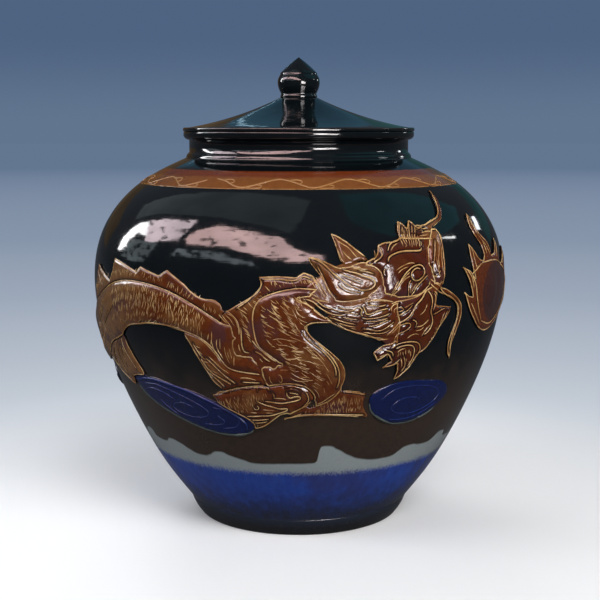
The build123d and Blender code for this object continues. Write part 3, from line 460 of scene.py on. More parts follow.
        (1.0, (27.3, 223.1), (28.4, 225.6), (29.6, 226.6), (30.8, 225.4)),
        (1.0, (31.6, 223.6), (32.6, 229.8), (33.8, 234)), (1.0, (30.4, 244), (31.8, 248), (32.6, 254)),
        (1.0, (29.6, 229.6), (31, 230), (32, 232.6)),
        (1.4, (23.3, 213.7), (24.6, 216.9), (26.4, 219.2), (28.6, 219.4), (30.4, 218.2), (31.4, 215),
         (31.7, 210.3), (31.3, 205.6)),
        (1.2, (24.4, 213.4), (25.8, 215.4), (27.8, 216.3), (29.3, 215), (30, 211.2), (30, 205.2),
         (29.5, 200.1), (28.6, 195)), (1.1, (27.1, 206), (27.7, 200.1), (27.7, 195), (27, 190)),
        (1.0, (26.3, 204.4), (26.8, 199), (26.8, 194)),
        (1.1, (23, 195.4), (24.2, 197), (25.4, 200.1), (26.2, 203.6)),
        (1.2, (19.6, 210), (20.8, 212.8), (22.6, 212), (23.7, 210), (24.1, 205.8)),
        (1.0, (20.4, 207), (21.6, 208), (22.8, 206.4), (23.2, 202.5)), (1.0, (28.4, 212), (28.9, 207)),
        (1.0, (25, 210), (26, 212.6), (27.4, 213.4)),
    ],
    "dragon_mane": [
        (1.7, (1.3, 260), (2.9, 255.4), (4.6, 249.8), (6.4, 244.6), (8.2, 240), (9.9, 236.6), (11.6, 233.9),
         (13.4, 231.4), (15.4, 229), (17.4, 227)),
        (1.3, (1.6, 263), (3.4, 260.4), (5, 255), (6.8, 250.8), (8.9, 248.3), (10.9, 247.6)),
        (1.3, (3, 264.6), (4.4, 261), (5.8, 256.7), (7.6, 254.2), (9.3, 251.9), (11.3, 251.3), (13, 252.5),
         (14.1, 254.6), (15, 252.5), (14.8, 248.8), (15.3, 246.2)),
        (1.1, (9.2, 255.4), (10.9, 253.6), (12.6, 253.6)),
        (1.3, (15.3, 255.6), (15.9, 250.6), (16.2, 248.2), (17.4, 248.2), (19.5, 251), (21.7, 252.4)),
        (1.2, (15.8, 259), (17.8, 260), (19.5, 259.8), (21.4, 259)),
        (1.1, (16.4, 256.6), (18, 255.6), (19.5, 255), (21.2, 255.8)),
        (1.1, (15.2, 244.2), (16.9, 243.8), (18.9, 244.2), (20.8, 245.8), (22.2, 247.8)),
        (1.1, (15.8, 241.2), (18, 240.8), (20, 241.9), (21.7, 243.6)),
        (1.4, (16.8, 236.4), (18.9, 237.5), (20.4, 239.8), (21.9, 241.9)),
        (1.1, (15.4, 234.6), (17.4, 233.5), (19.1, 232), (20.8, 233.3), (22.4, 236.9), (23.4, 239.4)),
        (1.1, (15.6, 231), (17.6, 230), (19.5, 229.4), (21.1, 230), (22.6, 232.7)),
        (1.1, (8, 245.6), (9.6, 243), (11.6, 240.8), (13.6, 239)),
        (1.1, (10.4, 246), (12.2, 244.4), (14, 243.4)), (1.0, (9.6, 240.6), (11.4, 238.2), (13.6, 236.6)),
        (1.0, (12.4, 235.6), (14, 234.4)), (1.3, (16.2, 226.4), (18, 225.2), (19.8, 224.6), (21.2, 223.6)),
        (1.1, (10.8, 250), (12.6, 249.4), (14.2, 248.4)), (1.1, (2.2, 280.8), (3.3, 276.7), (3.9, 272.5)),
        (1.2, (3, 282.4), (4.3, 276.2), (5.3, 269.4), (6.3, 263.4)),
        (1.2, (4.1, 282.5), (4.9, 277), (5.8, 271), (6.9, 264.4)), (1.0, (1.3, 280), (1.9, 276)),
        (1.0, (2.2, 268.4), (3.8, 266), (5, 262.4)),
    ],
    "dragon_rear_trunk": [
        (2.2, (-86, 208), (-93, 205), (-101, 208.6), (-110, 226), (-120, 246), (-130, 256), (-140, 252.4),
         (-150, 236), (-158, 212), (-162, 193)),
        (1.6, (-86, 174), (-92, 170), (-101, 174), (-110, 191), (-120, 213), (-130, 223), (-138, 220),
         (-145, 208), (-152, 188.5)), (1.5, (-84.6, 192), (-90, 196), (-96, 199)),
        (1.3, (-85, 200), (-91, 202.6), (-97, 204)),
    ],
    "dragon_rear_crest": [
        (1.4, (-107, 232), (-112, 241), (-120, 256), (-130, 265), (-140, 261.6), (-150, 245), (-157, 226)),
        (1.3, (-121, 268), (-126, 268), (-132, 263.6)), (1.3, (-137, 279), (-141, 269), (-145, 258.6)),
    ],
    "dragon_rear_leg": [
        (1.6, (-134.6, 212), (-133.6, 196), (-130.6, 180), (-124, 166), (-117, 158.6)),
        (1.3, (-138, 206), (-136.6, 190), (-133, 174), (-127, 160)), (1.3, (-114, 163), (-112, 157.6)),
        (1.3, (-119, 164), (-116, 152.6)),
    ],
    "dragon_tail": [
        (1.8, (-163, 181), (-167, 166), (-173, 156.6), (-181, 155), (-188, 162), (-192, 176), (-194.6, 194),
         (-197, 208)),
        (1.4, (-160.8, 174), (-166, 158), (-174, 150.6), (-182, 150), (-188.6, 157.6), (-194, 174),
         (-198, 194)), (1.3, (-188.8, 200), (-188.2, 212)), (1.3, (-193.4, 205), (-194.4, 222)),
    ],
    "pearl_flames": [
        (1.6, (55.6, 228), (61, 222.6), (66, 227), (72, 238), (75.6, 250), (75, 268), (71.6, 276),
         (66, 284), (60, 285.6), (54.6, 284), (50.6, 275), (51.4, 264), (52.8, 245), (55.6, 228)),
        (1.3, (50.4, 262), (49.6, 273), (48, 281)), (1.3, (52.4, 280), (51.6, 292), (51.6, 302)),
        (1.3, (59.4, 292), (58.6, 303), (56.8, 314), (56.2, 327)),
        (1.3, (61.4, 291), (60, 300), (58.6, 306)), (1.3, (66.6, 287), (68.6, 300)),
        (1.3, (73, 278), (77.6, 289)), (1.3, (78.6, 262), (85, 265.6)),
        (1.3, (49.6, 248), (52, 237), (55, 224.4)),
    ],
    "cloud_left": [
        # The wide first line runs along the top edge: a lighter blue cord that is a painted highlight
        (2.4, (-53, 168), (-49, 171.4), (-44, 172.6), (-38, 170), (-32, 166), (-27, 160), (-22.4, 153),
         (-18.6, 146), (-15.6, 138), (-15.4, 130)),
        (1.0, (-25, 152), (-21, 150), (-18.4, 146), (-17.4, 139), (-19, 132.5), (-23, 130)),
        (1.0, (-50, 166), (-44, 168), (-37, 163), (-31, 156), (-27, 148), (-28, 141), (-33, 139),
         (-38, 143), (-39, 149), (-35, 153), (-31.4, 149)),
        (1.0, (-50, 160), (-46, 163), (-41, 160), (-38, 155)), (1.0, (-44, 152), (-42, 146), (-38, 138.6)),
        (1.0, (-24, 144), (-22, 138), (-24, 133.6), (-29, 133)),
    ],
    "cloud_right": [
        (1.0, (23, 160), (27, 170), (33, 172), (40, 168), (44, 160), (42, 150), (36, 143), (30, 144),
         (27, 151), (30, 159), (35, 159), (37, 153)), (1.0, (27, 138), (33, 137), (39, 141), (44, 149)),
    ],
    "cloud_side": [(1.0, (-84, 150), (-90, 158), (-97, 158), (-100, 151), (-95, 146), (-90, 150))],
    "cloud_back": [(1.0, (-110, 128), (-117, 138), (-126, 141), (-131, 136), (-127, 129), (-120, 130))],
    "cloud_far": [
        (1.0, (132, 158), (139, 168), (148, 164), (150, 153), (143, 146), (137, 152), (142, 158)),
    ],
}

# Rows of short strokes: spacing, length, lean to the right in degrees, bend and width, then the row's line

COMBED = {
    "dragon_trunk": [
        (2.2, 7, 12, 0.1, 0.9, (-66, 230), (-60, 246), (-52, 259), (-46, 261.4), (-40, 261), (-34, 256.6),
         (-28, 247.4), (-23.4, 236)),
        (2.3, 9, 10, 0.1, 0.9, (-60, 232), (-54, 246), (-48, 252), (-42, 253), (-36, 250), (-30, 241.4),
         (-25, 230.6)),
        (2.3, 8, 9, 0.1, 0.9, (-57, 226), (-52, 238), (-46, 245.4), (-40, 246), (-35, 243), (-30, 235.4),
         (-26, 226)),
        (2.6, 7, 16, 0.1, 0.9, (-53, 221), (-50, 230), (-45, 237), (-40, 238.5), (-35, 236), (-31, 231)),
        (3.0, 6, 42, 0.0, 1.0, (-47, 230.4), (-43, 233), (-38, 233.4), (-34, 231.8), (-31, 229.6)),
        (3.4, 8, -38, 0.1, 1.0, (-78, 184), (-73, 192), (-68, 203), (-63, 217)),
        (3.4, 8, -34, 0.1, 1.0, (-77, 196), (-72, 205), (-67, 217)),
    ],
    "dragon_back_crest": [
        (2.2, 7, -10, 0.05, 0.9, (-69, 252), (-65, 259.4), (-60, 267.4)),
        (2.2, 6, 8, 0.05, 0.9, (-55.6, 272.8), (-50, 275.8), (-45.4, 276)),
        (2.2, 5, 12, 0.05, 0.9, (-43, 275.6), (-38.6, 273.4), (-36, 271.4)),
        (2.2, 6, 18, 0.05, 0.9, (-34, 270), (-29.6, 263), (-25.4, 256.4)),
        (2.2, 5, 14, 0.05, 0.9, (-23.6, 253), (-20.4, 247)),
    ],
    "dragon_nape_crest": [
        (2.4, 7, -45, 0.05, 1.0, (-12.2, 250), (-12.1, 240), (-12, 230), (-11.4, 221)),
        (2.4, 6, -45, 0.05, 0.9, (-13.4, 256), (-13.2, 246), (-13, 236)),
        (2.6, 5, -25, 0.0, 1.1, (-6.4, 273.6), (-3, 275), (0, 275), (3, 275)),
        (2.4, 6, -50, 0.0, 0.9, (-10.8, 256), (-8.6, 264), (-6, 270)),
    ],
    "dragon_chest": [
        (1.9, 6, 124, 0.12, 0.7, (-8.8, 256), (-8.8, 244), (-8.2, 232), (-7, 222)),
        (1.7, 9, 130, 0.12, 0.75, (-6.6, 263), (-6, 252), (-5, 243), (-3.8, 233)),
        (1.7, 9, 128, 0.12, 0.75, (-4, 264), (-3.6, 254), (-2.6, 244), (-1.6, 234)),
        (1.9, 8, 132, 0.12, 0.7, (-1, 263), (-0.6, 254), (0, 244)),
        (2.0, 8, 110, 0.12, 0.7, (-5.4, 224), (-4.4, 214), (-3, 204), (-2, 196)),
        (1.9, 9, 108, 0.12, 0.75, (-2.4, 224), (-1, 212), (0.4, 200), (0.6, 188)),
        (2.1, 7, 148, 0.12, 0.7, (-3.6, 267), (-1, 267), (1.2, 265)),
        (2.0, 8, 116, 0.12, 0.75, (0.6, 228), (2.2, 216), (3.8, 203), (4.4, 191), (3.6, 181)),
    ],
    "dragon_foreleg": [(3.0, 5, 124, 0.1, 0.8, (-26.4, 214), (-24.4, 200), (-21.6, 188))],
    "dragon_forepaw": [
        (1.9, 6, 174, 0.1, 0.85, (-22.4, 167.4), (-19, 170.4), (-15, 174.4), (-11.4, 174.8), (-8.4, 174.4)),
        (2.1, 6, 174, 0.1, 0.8, (-21.6, 162.4), (-17, 166.4), (-13, 168.8), (-9.6, 169)),
        (2.3, 6, 170, 0.1, 0.8, (-19.6, 158.4), (-15.6, 161.4), (-12.6, 163)),
        (2.6, 5, 168, 0.1, 0.8, (-17.6, 153.4), (-14.4, 155.4)),
    ],
    "dragon_far_foreleg": [
        (1.9, 8, 172, 0.08, 0.8, (3.6, 156.4), (8, 162), (12.6, 168)),
        (2.0, 7, 172, 0.08, 0.8, (10.6, 165), (17, 165.6)),
        (2.1, 6, 176, 0.08, 0.8, (5, 153.4), (11, 156), (17, 157)),
        (2.8, 4, 4, 0.05, 0.9, (2, 150.6), (8, 150.8), (14.6, 150)),
    ],
    "dragon_hind_leg": [
        (2.8, 5, 150, 0.1, 0.9, (-61, 199), (-62.4, 190), (-61.6, 180)),
        (2.8, 5, 150, 0.1, 0.9, (-55.2, 203), (-56, 192), (-54.4, 182)),
    ],
    "dragon_ear": [(1.9, 2.2, 4, 0.0, 1.3, (10.4, 262.9), (13.9, 262.9), (16.6, 265.6), (18.6, 268.4))],
    "dragon_mane": [
        (2.2, 2.0, 0, 0.0, 1.1, (7.4, 257.4), (9.4, 256.2), (12, 255.8)),
        (2.6, 6, 104, 0.1, 0.8, (6.4, 249), (8, 244.6), (9.4, 241)),
    ],
    "dragon_jaw": [
        (2.6, 5, 150, 0.1, 0.8, (37.8, 241), (36.4, 232), (34.8, 222)),
        (2.6, 5, 176, 0.1, 0.9, (25.4, 212), (28.8, 212)),
        (2.6, 5, 176, 0.1, 0.8, (28.2, 203), (29.2, 199)),
    ],
    "dragon_rear_trunk": [
        (2.6, 8, -10, 0.1, 0.9, (-100, 196), (-108, 210), (-116, 228), (-124, 241), (-132, 244),
         (-140, 239), (-148, 224), (-155, 204)),
        (2.6, 8, -6, 0.1, 0.9, (-98, 184), (-106, 196), (-114, 214), (-122, 229), (-130, 233), (-138, 229),
         (-146, 213), (-153, 194)),
    ],
    "dragon_rear_crest": [
        (2.6, 6, 0, 0.05, 0.9, (-108, 236), (-114, 246), (-120, 255.6), (-130, 264.4), (-140, 260.6),
         (-148, 249)),
    ],
    "dragon_tail": [
        (3.0, 6, 0, 0.1, 0.9, (-164, 170), (-172, 154.6), (-181, 151.4), (-189, 160), (-194.6, 180)),
    ],
}

# Wider swells of clay under the head and the chest: outline, rise and width of the rounded rim

BEDS = {
    "dragon_skull": ([[
        (1.5, 262), (1.4, 272), (4.6, 283), (6.6, 288.6), (9, 293), (12, 296), (16, 296), (20, 302),
        (21, 310), (25, 312), (27, 318), (33, 318), (36, 322), (38.4, 320), (39.2, 312), (39, 296),
        (38.6, 280), (38.4, 270), (37, 265), (35.6, 255), (38, 249), (37, 240), (34, 225), (31, 212),
        (28, 214), (24, 214), (21.5, 218), (20, 222.6), (15, 228.6), (12, 233), (9.3, 239.4), (7, 248),
        (4.5, 255.4)]], 3.2, 4),
    "dragon_chest": ([[
        (-18.8, 247), (-15.8, 252), (-12.6, 258), (-9.6, 264), (-6, 266), (0, 268), (4.6, 276), (5.6, 268),
        (4.4, 256), (0, 250), (-6, 240), (-7, 215), (-4, 203), (-2, 198), (-3, 186), (-9, 179), (-14, 178),
        (-21, 183), (-20.6, 200), (-23.6, 215), (-26, 224), (-20, 232)]], 2.0, 3),
}

# Pale rims at the clouds' lower edges: width, then azimuths and heights

CLOUD_RIMS = {
    "cloud_left": (3.2, (-53.6, 162), (-51, 153), (-46, 144.5), (-40, 136.5), (-33, 129.2), (-27, 124.6),
                   (-21, 123), (-15.6, 125.8), (-13.4, 130)),
    "cloud_right": (2.6, (19.8, 158), (21.6, 146), (28, 133.6), (33, 131.6), (38, 133.8), (45, 143.6)),
    "cloud_side": (2.6, (-78.6, 158), (-84, 142.4), (-94, 139.4), (-102, 147.6)),
    "cloud_back": (2.6, (-104.8, 130), (-110, 121.6), (-122, 120.6), (-132, 128)),
    "cloud_far": (2.6, (128.6, 156), (134, 140), (144, 134.6), (153.6, 144)),
}

# The pearl is a circle: azimuth and height of its centre, radius, and points round it
PEARL_AZIMUTH = 60.5
PEARL_HEIGHT = 257.5
PEARL_RADIUS = 22.0
PEARL_POINTS = 24

# The vine on the shoulder band, whose stem, leaf and curl repeat round the jar
BAND_LOW = 360.0
BAND_HIGH = 376.0
VINE_REPEAT = 24
STEM = [(-30.5, 369), (-26, 366.8), (-20.2, 361.8), (-16, 363), (-10, 367.5)]
LEAF = [(-28, 367.6), (-24.6, 368.6), (-22.6, 367), (-23.6, 365.2), (-25, 366)]
CURL = [(-18, 362.2), (-15.4, 360.9), (-12.6, 361.6), (-12.4, 363.4), (-14, 363.6)]

# The wavy top of the grey-white band, which repeats three times round the jar
WAVE = [(-60, 104), (-55, 100), (-51.6, 101), (-48.8, 105.5), (-45, 104), (-40, 98), (-35, 94.5),
        (-31.4, 96.5), (-27, 101.7), (-24, 99), (-18.4, 94.5), (-14.7, 92), (-5, 93), (2, 93.4), (5, 94),
        (6.3, 99), (7, 112), (8.5, 113.3), (12, 109.5), (17, 100.5), (22, 95), (27, 93), (32, 93.5),
        (36, 98.5), (38.5, 102.5), (41, 103), (45, 101), (49, 100.5), (53, 104.5), (57, 109), (60, 104)]
WAVE_SPAN = 120.0
WAVE_LOW = 80.0
WAVE_HIGH = 120.0

# Shapes of lines

OUTLINE_STEP = 1.2
EASED_STEPS = 5


def through(points, step, closed=False):
    """Points about a step apart on the smooth curve through the given ones."""
    given = np.array(points, float)
    if closed:
        given = np.vstack([given[-3:], given, given[:4]])
    spans = np.hypot(*(given[1:] - given[:-1]).T)
    along = np.concatenate([[0], np.cumsum(spans)])
    count = len(given)
    bend = np.eye(count)
    pull = np.zeros((count, 2))
    for i in range(1, count - 1):
        bend[i, i - 1:i + 2] = spans[i - 1], 2 * (spans[i - 1] + spans[i]), spans[i]
        pull[i] = 6 * ((given[i + 1] - given[i]) / spans[i] - (given[i] - given[i - 1]) / spans[i - 1])
    bends = np.linalg.solve(bend, pull)
    first, last = (along[3], along[-4]) if closed else (0, along[-1])
    places = np.linspace(first, last, max(2, math.ceil((last - first) / step) + 1))
    if closed:
        places = places[:-1]
    at = np.clip(np.searchsorted(along, places, side="right") - 1, 0, count - 2)
    span = spans[at][:, None]
    after = (places - along[at])[:, None]
    before = span - after
    return ((bends[at] * before ** 3 + bends[at + 1] * after ** 3) / (6 * span)
            + (given[at] / span - bends[at] * span / 6) * before
            + (given[at + 1] / span - bends[at + 1] * span / 6) * after)


def bowed(start, end, sag, count):
    """Points from start to end on a shallow arc that bows to the right of its way by sag."""
    start, end = np.array(start, float), np.array(end, float)
    way = end - start
    side = np.array([way[1], -way[0]]) / np.hypot(*way)
    share = np.linspace(0, 1, count + 1)[:, None]
    return start + way * share + side * sag * 4 * share * (1 - share)


def eased(before, corner, after, radius):
    """Points that round a corner between two neighbours."""
    corner = np.array(corner, float)
    enter = np.array(before, float) - corner
    leave = np.array(after, float) - corner
    first = corner + enter * radius / np.hypot(*enter)
    last = corner + leave * radius / np.hypot(*leave)
    share = np.linspace(0, 1, EASED_STEPS + 1)[:, None]
    return first * (1 - share) ** 2 + 2 * corner * share * (1 - share) + last * share ** 2


OUTER = through(WALL, 2.8)


def wall_radius(height):
    """Outer radius of the wall at a height."""
    return np.interp(height, OUTER[:, 1], OUTER[:, 0])


def on_wall(azimuth, height, out):
    """A place on the wall, raised by out along the wall's normal, in metres."""
    turn = np.radians(azimuth)
    slope = (wall_radius(height + 0.5) - wall_radius(height - 0.5))
    across = 1 / np.hypot(1, slope)
    radius = wall_radius(height) + out * across
    rise = height - out * across * slope
    return np.column_stack([radius * np.sin(turn), -radius * np.cos(turn), rise]) * MM


def flat(points):
    """Azimuth and height laid flat: metres along the belly and up."""
    points = np.array(points, float)
    return np.column_stack([np.radians(points[:, 0]) * BELLY, points[:, 1] * MM])


def unflat(points):
    """Azimuth and height of points that are laid flat."""
    return np.degrees(points[:, 0] / BELLY), points[:, 1] / MM


def line_of(width, *points):
    """A row of a table of lines as width, flat points and whether it closes."""
    return width, flat(points), False


# Node trees

class Wire:
    """A socket that sums and products can be written with."""

    def __init__(self, socket):
        self.socket = socket

    def maths(self, operation, *parts):
        tree = self.socket.id_data
        vector = any(isinstance(p, tuple) or isinstance(p, Wire) and p.socket.type == "VECTOR" for p in parts)
        step = tree.nodes.new("ShaderNodeVectorMath" if vector else "ShaderNodeMath")
        step.operation = operation
        for socket, part in zip(step.inputs, parts):
            plug(socket, part)
        return Wire(step.outputs["Value"] if operation in ("LENGTH", "DOT_PRODUCT") else step.outputs[0])

    def __add__(self, other):
        return self.maths("ADD", self, other)

    def __radd__(self, other):
        return self.maths("ADD", other, self)

    def __sub__(self, other):
        return self.maths("SUBTRACT", self, other)

    def __rsub__(self, other):
        return self.maths("SUBTRACT", other, self)

    def __mul__(self, other):
        return self.maths("MULTIPLY", self, other)

    def __rmul__(self, other):
        return self.maths("MULTIPLY", other, self)

    def __truediv__(self, other):
        return self.maths("DIVIDE", self, other)

    def __rtruediv__(self, other):
        return self.maths("DIVIDE", other, self)

    def __mod__(self, other):
        return self.maths("FLOORED_MODULO", self, other)

    def __pow__(self, other):
        return self.maths("POWER", self, other)

    def __neg__(self):
        return self.maths("MULTIPLY", self, -1)

    def most(self, other):
        return self.maths("MAXIMUM", self, other)

    def least(self, other):
        return self.maths("MINIMUM", self, other)

    def do(self, operation, *others):
        return self.maths(operation, self, *others)


def plug(socket, part):
    """Links a wire to a socket, or sets the socket's own value."""
    if isinstance(part, Wire):
        socket.id_data.links.new(part.socket, socket)
    else:
        socket.default_value = part


class Net:
    """A node tree that is added to by a node's kind, settings and inputs."""

    def __init__(self, tree):
        self.tree = tree

    def add(self, kind, settings=None, out=None, **inputs):
        step = self.tree.nodes.new(kind)
        for name, value in (settings or {}).items():
            if name == "stops":
                ramp = step.color_ramp
                while len(ramp.elements) < len(value):
                    ramp.elements.new(0.5)
                for element, (place, colour) in zip(ramp.elements, value):
                    element.position = place
                    element.color = (*colour, 1)
            elif name == "bends":
                curve = step.mapping.curves[0]
                for place, level in value[1:-1]:
                    curve.points.new(place, level)
                curve.points[0].location = value[0]
                curve.points[-1].location = value[-1]
                step.mapping.update()
            else:
                setattr(step, name, value)
        for name, value in inputs.items():
            wanted = name.replace("_", " ")
            plug(next(s for s in step.inputs if s.enabled and s.name == wanted), value)
        outputs = [s for s in step.outputs if s.enabled]
        if out is None:
            return Wire(outputs[0]) if outputs else step
        return Wire(next(s for s in outputs if s.name == out))

    def mix(self, factor, first, second):
        """One colour over another."""
        step = self.tree.nodes.new("ShaderNodeMix")
        step.data_type = "RGBA"
        for place, value in ((0, factor), (6, first), (7, second)):
            if isinstance(value, tuple):
                value = (*value, 1)
            plug(step.inputs[place], value)
        return Wire(step.outputs[2])

    def ease(self, value, low, high, start=0.0, end=1.0):
        """Runs smoothly from start to end while the value goes from low to high."""
        return self.add("ShaderNodeMapRange", {"interpolation_type": "SMOOTHSTEP"}, Value=value,
                        From_Min=low, From_Max=high, To_Min=start, To_Max=end)

    def cloud(self, where, scale, detail=2.0, roughness=0.5):
        """Soft noise from 0 to 1."""
        return self.add("ShaderNodeTexNoise", Vector=where, Scale=scale, Detail=detail, Roughness=roughness)

    def split(self, vector):
        step = self.tree.nodes.new("ShaderNodeSeparateXYZ")
        plug(step.inputs[0], vector)
        return [Wire(s) for s in step.outputs]

    def join(self, x, y, z):
        return self.add("ShaderNodeCombineXYZ", X=x, Y=y, Z=z)

    def camera_ray(self):
        return self.add("ShaderNodeLightPath", out="Is Camera Ray")

    def store(self, shape, name, value):
        """Keeps a number on each point under a name."""
        return self.add("GeometryNodeStoreNamedAttribute", {"data_type": "FLOAT"}, Geometry=shape, Name=name,
                        Value=value)

    def stored(self, name):
        return self.add("GeometryNodeInputNamedAttribute", {"data_type": "FLOAT"}, Name=name)

    def random(self, seed, low, high):
        """A random number for each point."""
        return self.add("FunctionNodeRandomValue", {"data_type": "FLOAT"}, Min=low, Max=high, Seed=seed)

    def smooth_curves(self, edges):
        curves = self.add("GeometryNodeMeshToCurve", Mesh=edges)
        return self.add("GeometryNodeCurveSplineType", {"spline_type": "CATMULL_ROM"}, Curve=curves)

    def evenly(self, curves, step):
        return self.add("GeometryNodeResampleCurve", {"mode": "LENGTH"}, Curve=curves, Length=step)


def geometry_net(name, **inputs):
    """A tree with a geometry input and the named ones, and their wires by name."""
    tree = bpy.data.node_groups.new(name, "GeometryNodeTree")
    face = tree.interface
    face.new_socket("Geometry", in_out="OUTPUT", socket_type="NodeSocketGeometry")
    for wanted, kind in {"Geometry": "Geometry", **inputs}.items():
        face.new_socket(wanted, in_out="INPUT", socket_type="NodeSocket" + kind)
    start = tree.nodes.new("NodeGroupInput")
    return Net(tree), {s.name: Wire(s) for s in start.outputs if s.name}


def finish_tree(net, shape, glaze):
    """Ends a tree in real faces with their glaze."""
    real = net.add("GeometryNodeRealizeInstances", Geometry=shape)
    done = net.add("GeometryNodeSetMaterial", Geometry=real, Material=glaze)
    plug(net.tree.nodes.new("NodeGroupOutput").inputs[0], done)
    return net.tree


def placed(name, data):
    """A new object in the scene."""
    thing = bpy.data.objects.new(name, data)
    bpy.context.collection.objects.link(thing)
    return thing


def grown(name, start, tree, **inputs):
    """A plain object with what the tree makes from the start mesh."""
    seed = placed(name, start)
    steps = seed.modifiers.new("steps", "NODES")
    steps.node_group = tree
    for item in tree.interface.items_tree:
        if item.in_out == "INPUT" and item.name in inputs:
            steps[item.identifier] = inputs[item.name]
    mesh = bpy.data.meshes.new_from_object(seed.evaluated_get(bpy.context.evaluated_depsgraph_get()))
    seed.modifiers.remove(steps)
    seed.data = mesh
    bpy.data.meshes.remove(start)
    return seed


def plain_mesh(name, points, edges=(), faces=(), **layers):
    """A mesh with named numbers on its points."""
    mesh = bpy.data.meshes.new(name)
    mesh.from_pydata([tuple(map(float, p)) for p in points], list(edges), list(faces))
    mesh.update()
    for title, values in layers.items():
        layer = mesh.attributes.new(title, "FLOAT", "POINT")
        layer.data.foreach_set("value", np.array(values, np.float32))
    return mesh


# Glazes: each pair holds a mottle's darker and paler colour

BLACK = ((0.0015, 0.0025, 0.0035), (0.004, 0.006, 0.0075))
LID_BLACK = ((0.0015, 0.0025, 0.0035), (0.004, 0.007, 0.009))
THIN_BROWN = (0.035, 0.02, 0.012)
LOW_BROWN = ((0.024, 0.0145, 0.01), (0.05, 0.032, 0.022))
LOW_BROWN_HEIGHTS = (215, 130)
BAND_RED = ((0.09, 0.016, 0.004), (0.16, 0.034, 0.008))
BAND_TAN = ((0.12, 0.036, 0.007), (0.21, 0.07, 0.014))
BAND_SPLIT = (369.5, 371.5)
WHITE = ((0.26, 0.305, 0.315), (0.36, 0.4, 0.4))
WHITE_EDGE = (0.12, 0.13, 0.13)
WHITE_HEIGHTS = (85, 77)
BLUE = ((0.013, 0.036, 0.235), (0.029, 0.092, 0.48))
BLUE_SMOKE = (0.035, 0.026, 0.06)
LOW_BLUE = ((0.014, 0.019, 0.034), (0.03, 0.033, 0.044))
LOW_BLUE_HEIGHTS = (62, 14)
FOOT_SKIN = ((0.014, 0.013, 0.014), (0.015, 0.021, 0.036))
FOOT_FLECK = (0.03, 0.03, 0.036)
BARE_CLAY = ((0.16, 0.1, 0.06), (0.26, 0.17, 0.11))
AMBER = ((0.045, 0.008, 0.002), (0.14, 0.031, 0.006))
DEEP_AMBER = ((0.03, 0.005, 0.002), (0.085, 0.016, 0.004))
HONEY = ((0.12, 0.042, 0.012), (0.22, 0.095, 0.03))
TRUNK_LEFT_TAN = ((0.13, 0.056, 0.02), (0.28, 0.15, 0.062))
# Plum patches: a painted reflection of the pink window light, put at random places
PLUM_SHEEN = (0.06, 0.022, 0.024)
# Near-black for the relief's grooves and edges: glaze pooled there and painted shade
POOLED_AND_SHADED = (0.004, 0.002, 0.0015)
SLIP = ((0.32, 0.15, 0.045), (0.62, 0.4, 0.17))
SLIP_STAIN = (0.14, 0.05, 0.014)
# Dark at the foot of each cord: pooled glaze and painted shade
SLIP_FOOT = (0.006, 0.002, 0.0015)
COBALT = ((0.002, 0.005, 0.036), (0.005, 0.013, 0.085))
DARK_COBALT = (0.003, 0.004, 0.02)
PEARL_DARK = ((0.016, 0.006, 0.009), (0.07, 0.025, 0.017))
PEARL_AMBER = ((0.04, 0.007, 0.002), (0.14, 0.034, 0.008))
PEARL_DISC = ((65.3, 10.2), (254.0, 31.0))


class Finish(Net):
    """A material's nodes, its shader and the place on the object in metres."""

    def __init__(self, name):
        self.material = bpy.data.materials.new(name)
        self.material.use_nodes = True
        super().__init__(self.material.node_tree)
        self.shader = self.tree.nodes["Principled BSDF"]
        self.place = self.add("ShaderNodeTexCoord", out="Object")

    def set(self, **inputs):
        """Sets or links the shader's inputs by name."""
        for name, value in inputs.items():
            plug(self.shader.inputs[name.replace("_", " ")], value)


class Glaze(Finish):
    """A finish with places in millimetres, and what all the glazes share."""

    def __init__(self, name):
        super().__init__(name)
        self.place = self.place * (1 / MM, 1 / MM, 1 / MM)
        x, y, self.height = self.split(self.place)
        self.azimuth = x.do("ARCTAN2", -y) * math.degrees(1)

    def attribute(self, name):
        return self.add("ShaderNodeAttribute", {"attribute_name": name}, out="Fac")

    def mottle(self, scale, detail=5, roughness=0.6, stretch=None):
        """Noise on the object, drawn out along the axis by a small stretch."""
        place = self.place * (1.0, 1.0, stretch) if stretch else self.place
        return self.cloud(place, scale, detail, roughness)

    def sheen(self, fine, smooth, rough):
        """Roughness that runs with the fine mottle."""
        return self.ease(fine, 0.2, 0.9, smooth, rough)

    def finished(self, colour, roughness, height, bump):
        """The material: glass over a body that is a little uneven."""
        normal = self.add("ShaderNodeBump", Strength=bump, Distance=MM, Height=height)
        self.set(Base_Color=colour, Roughness=roughness, IOR=1.52, Normal=normal)
        return self.material


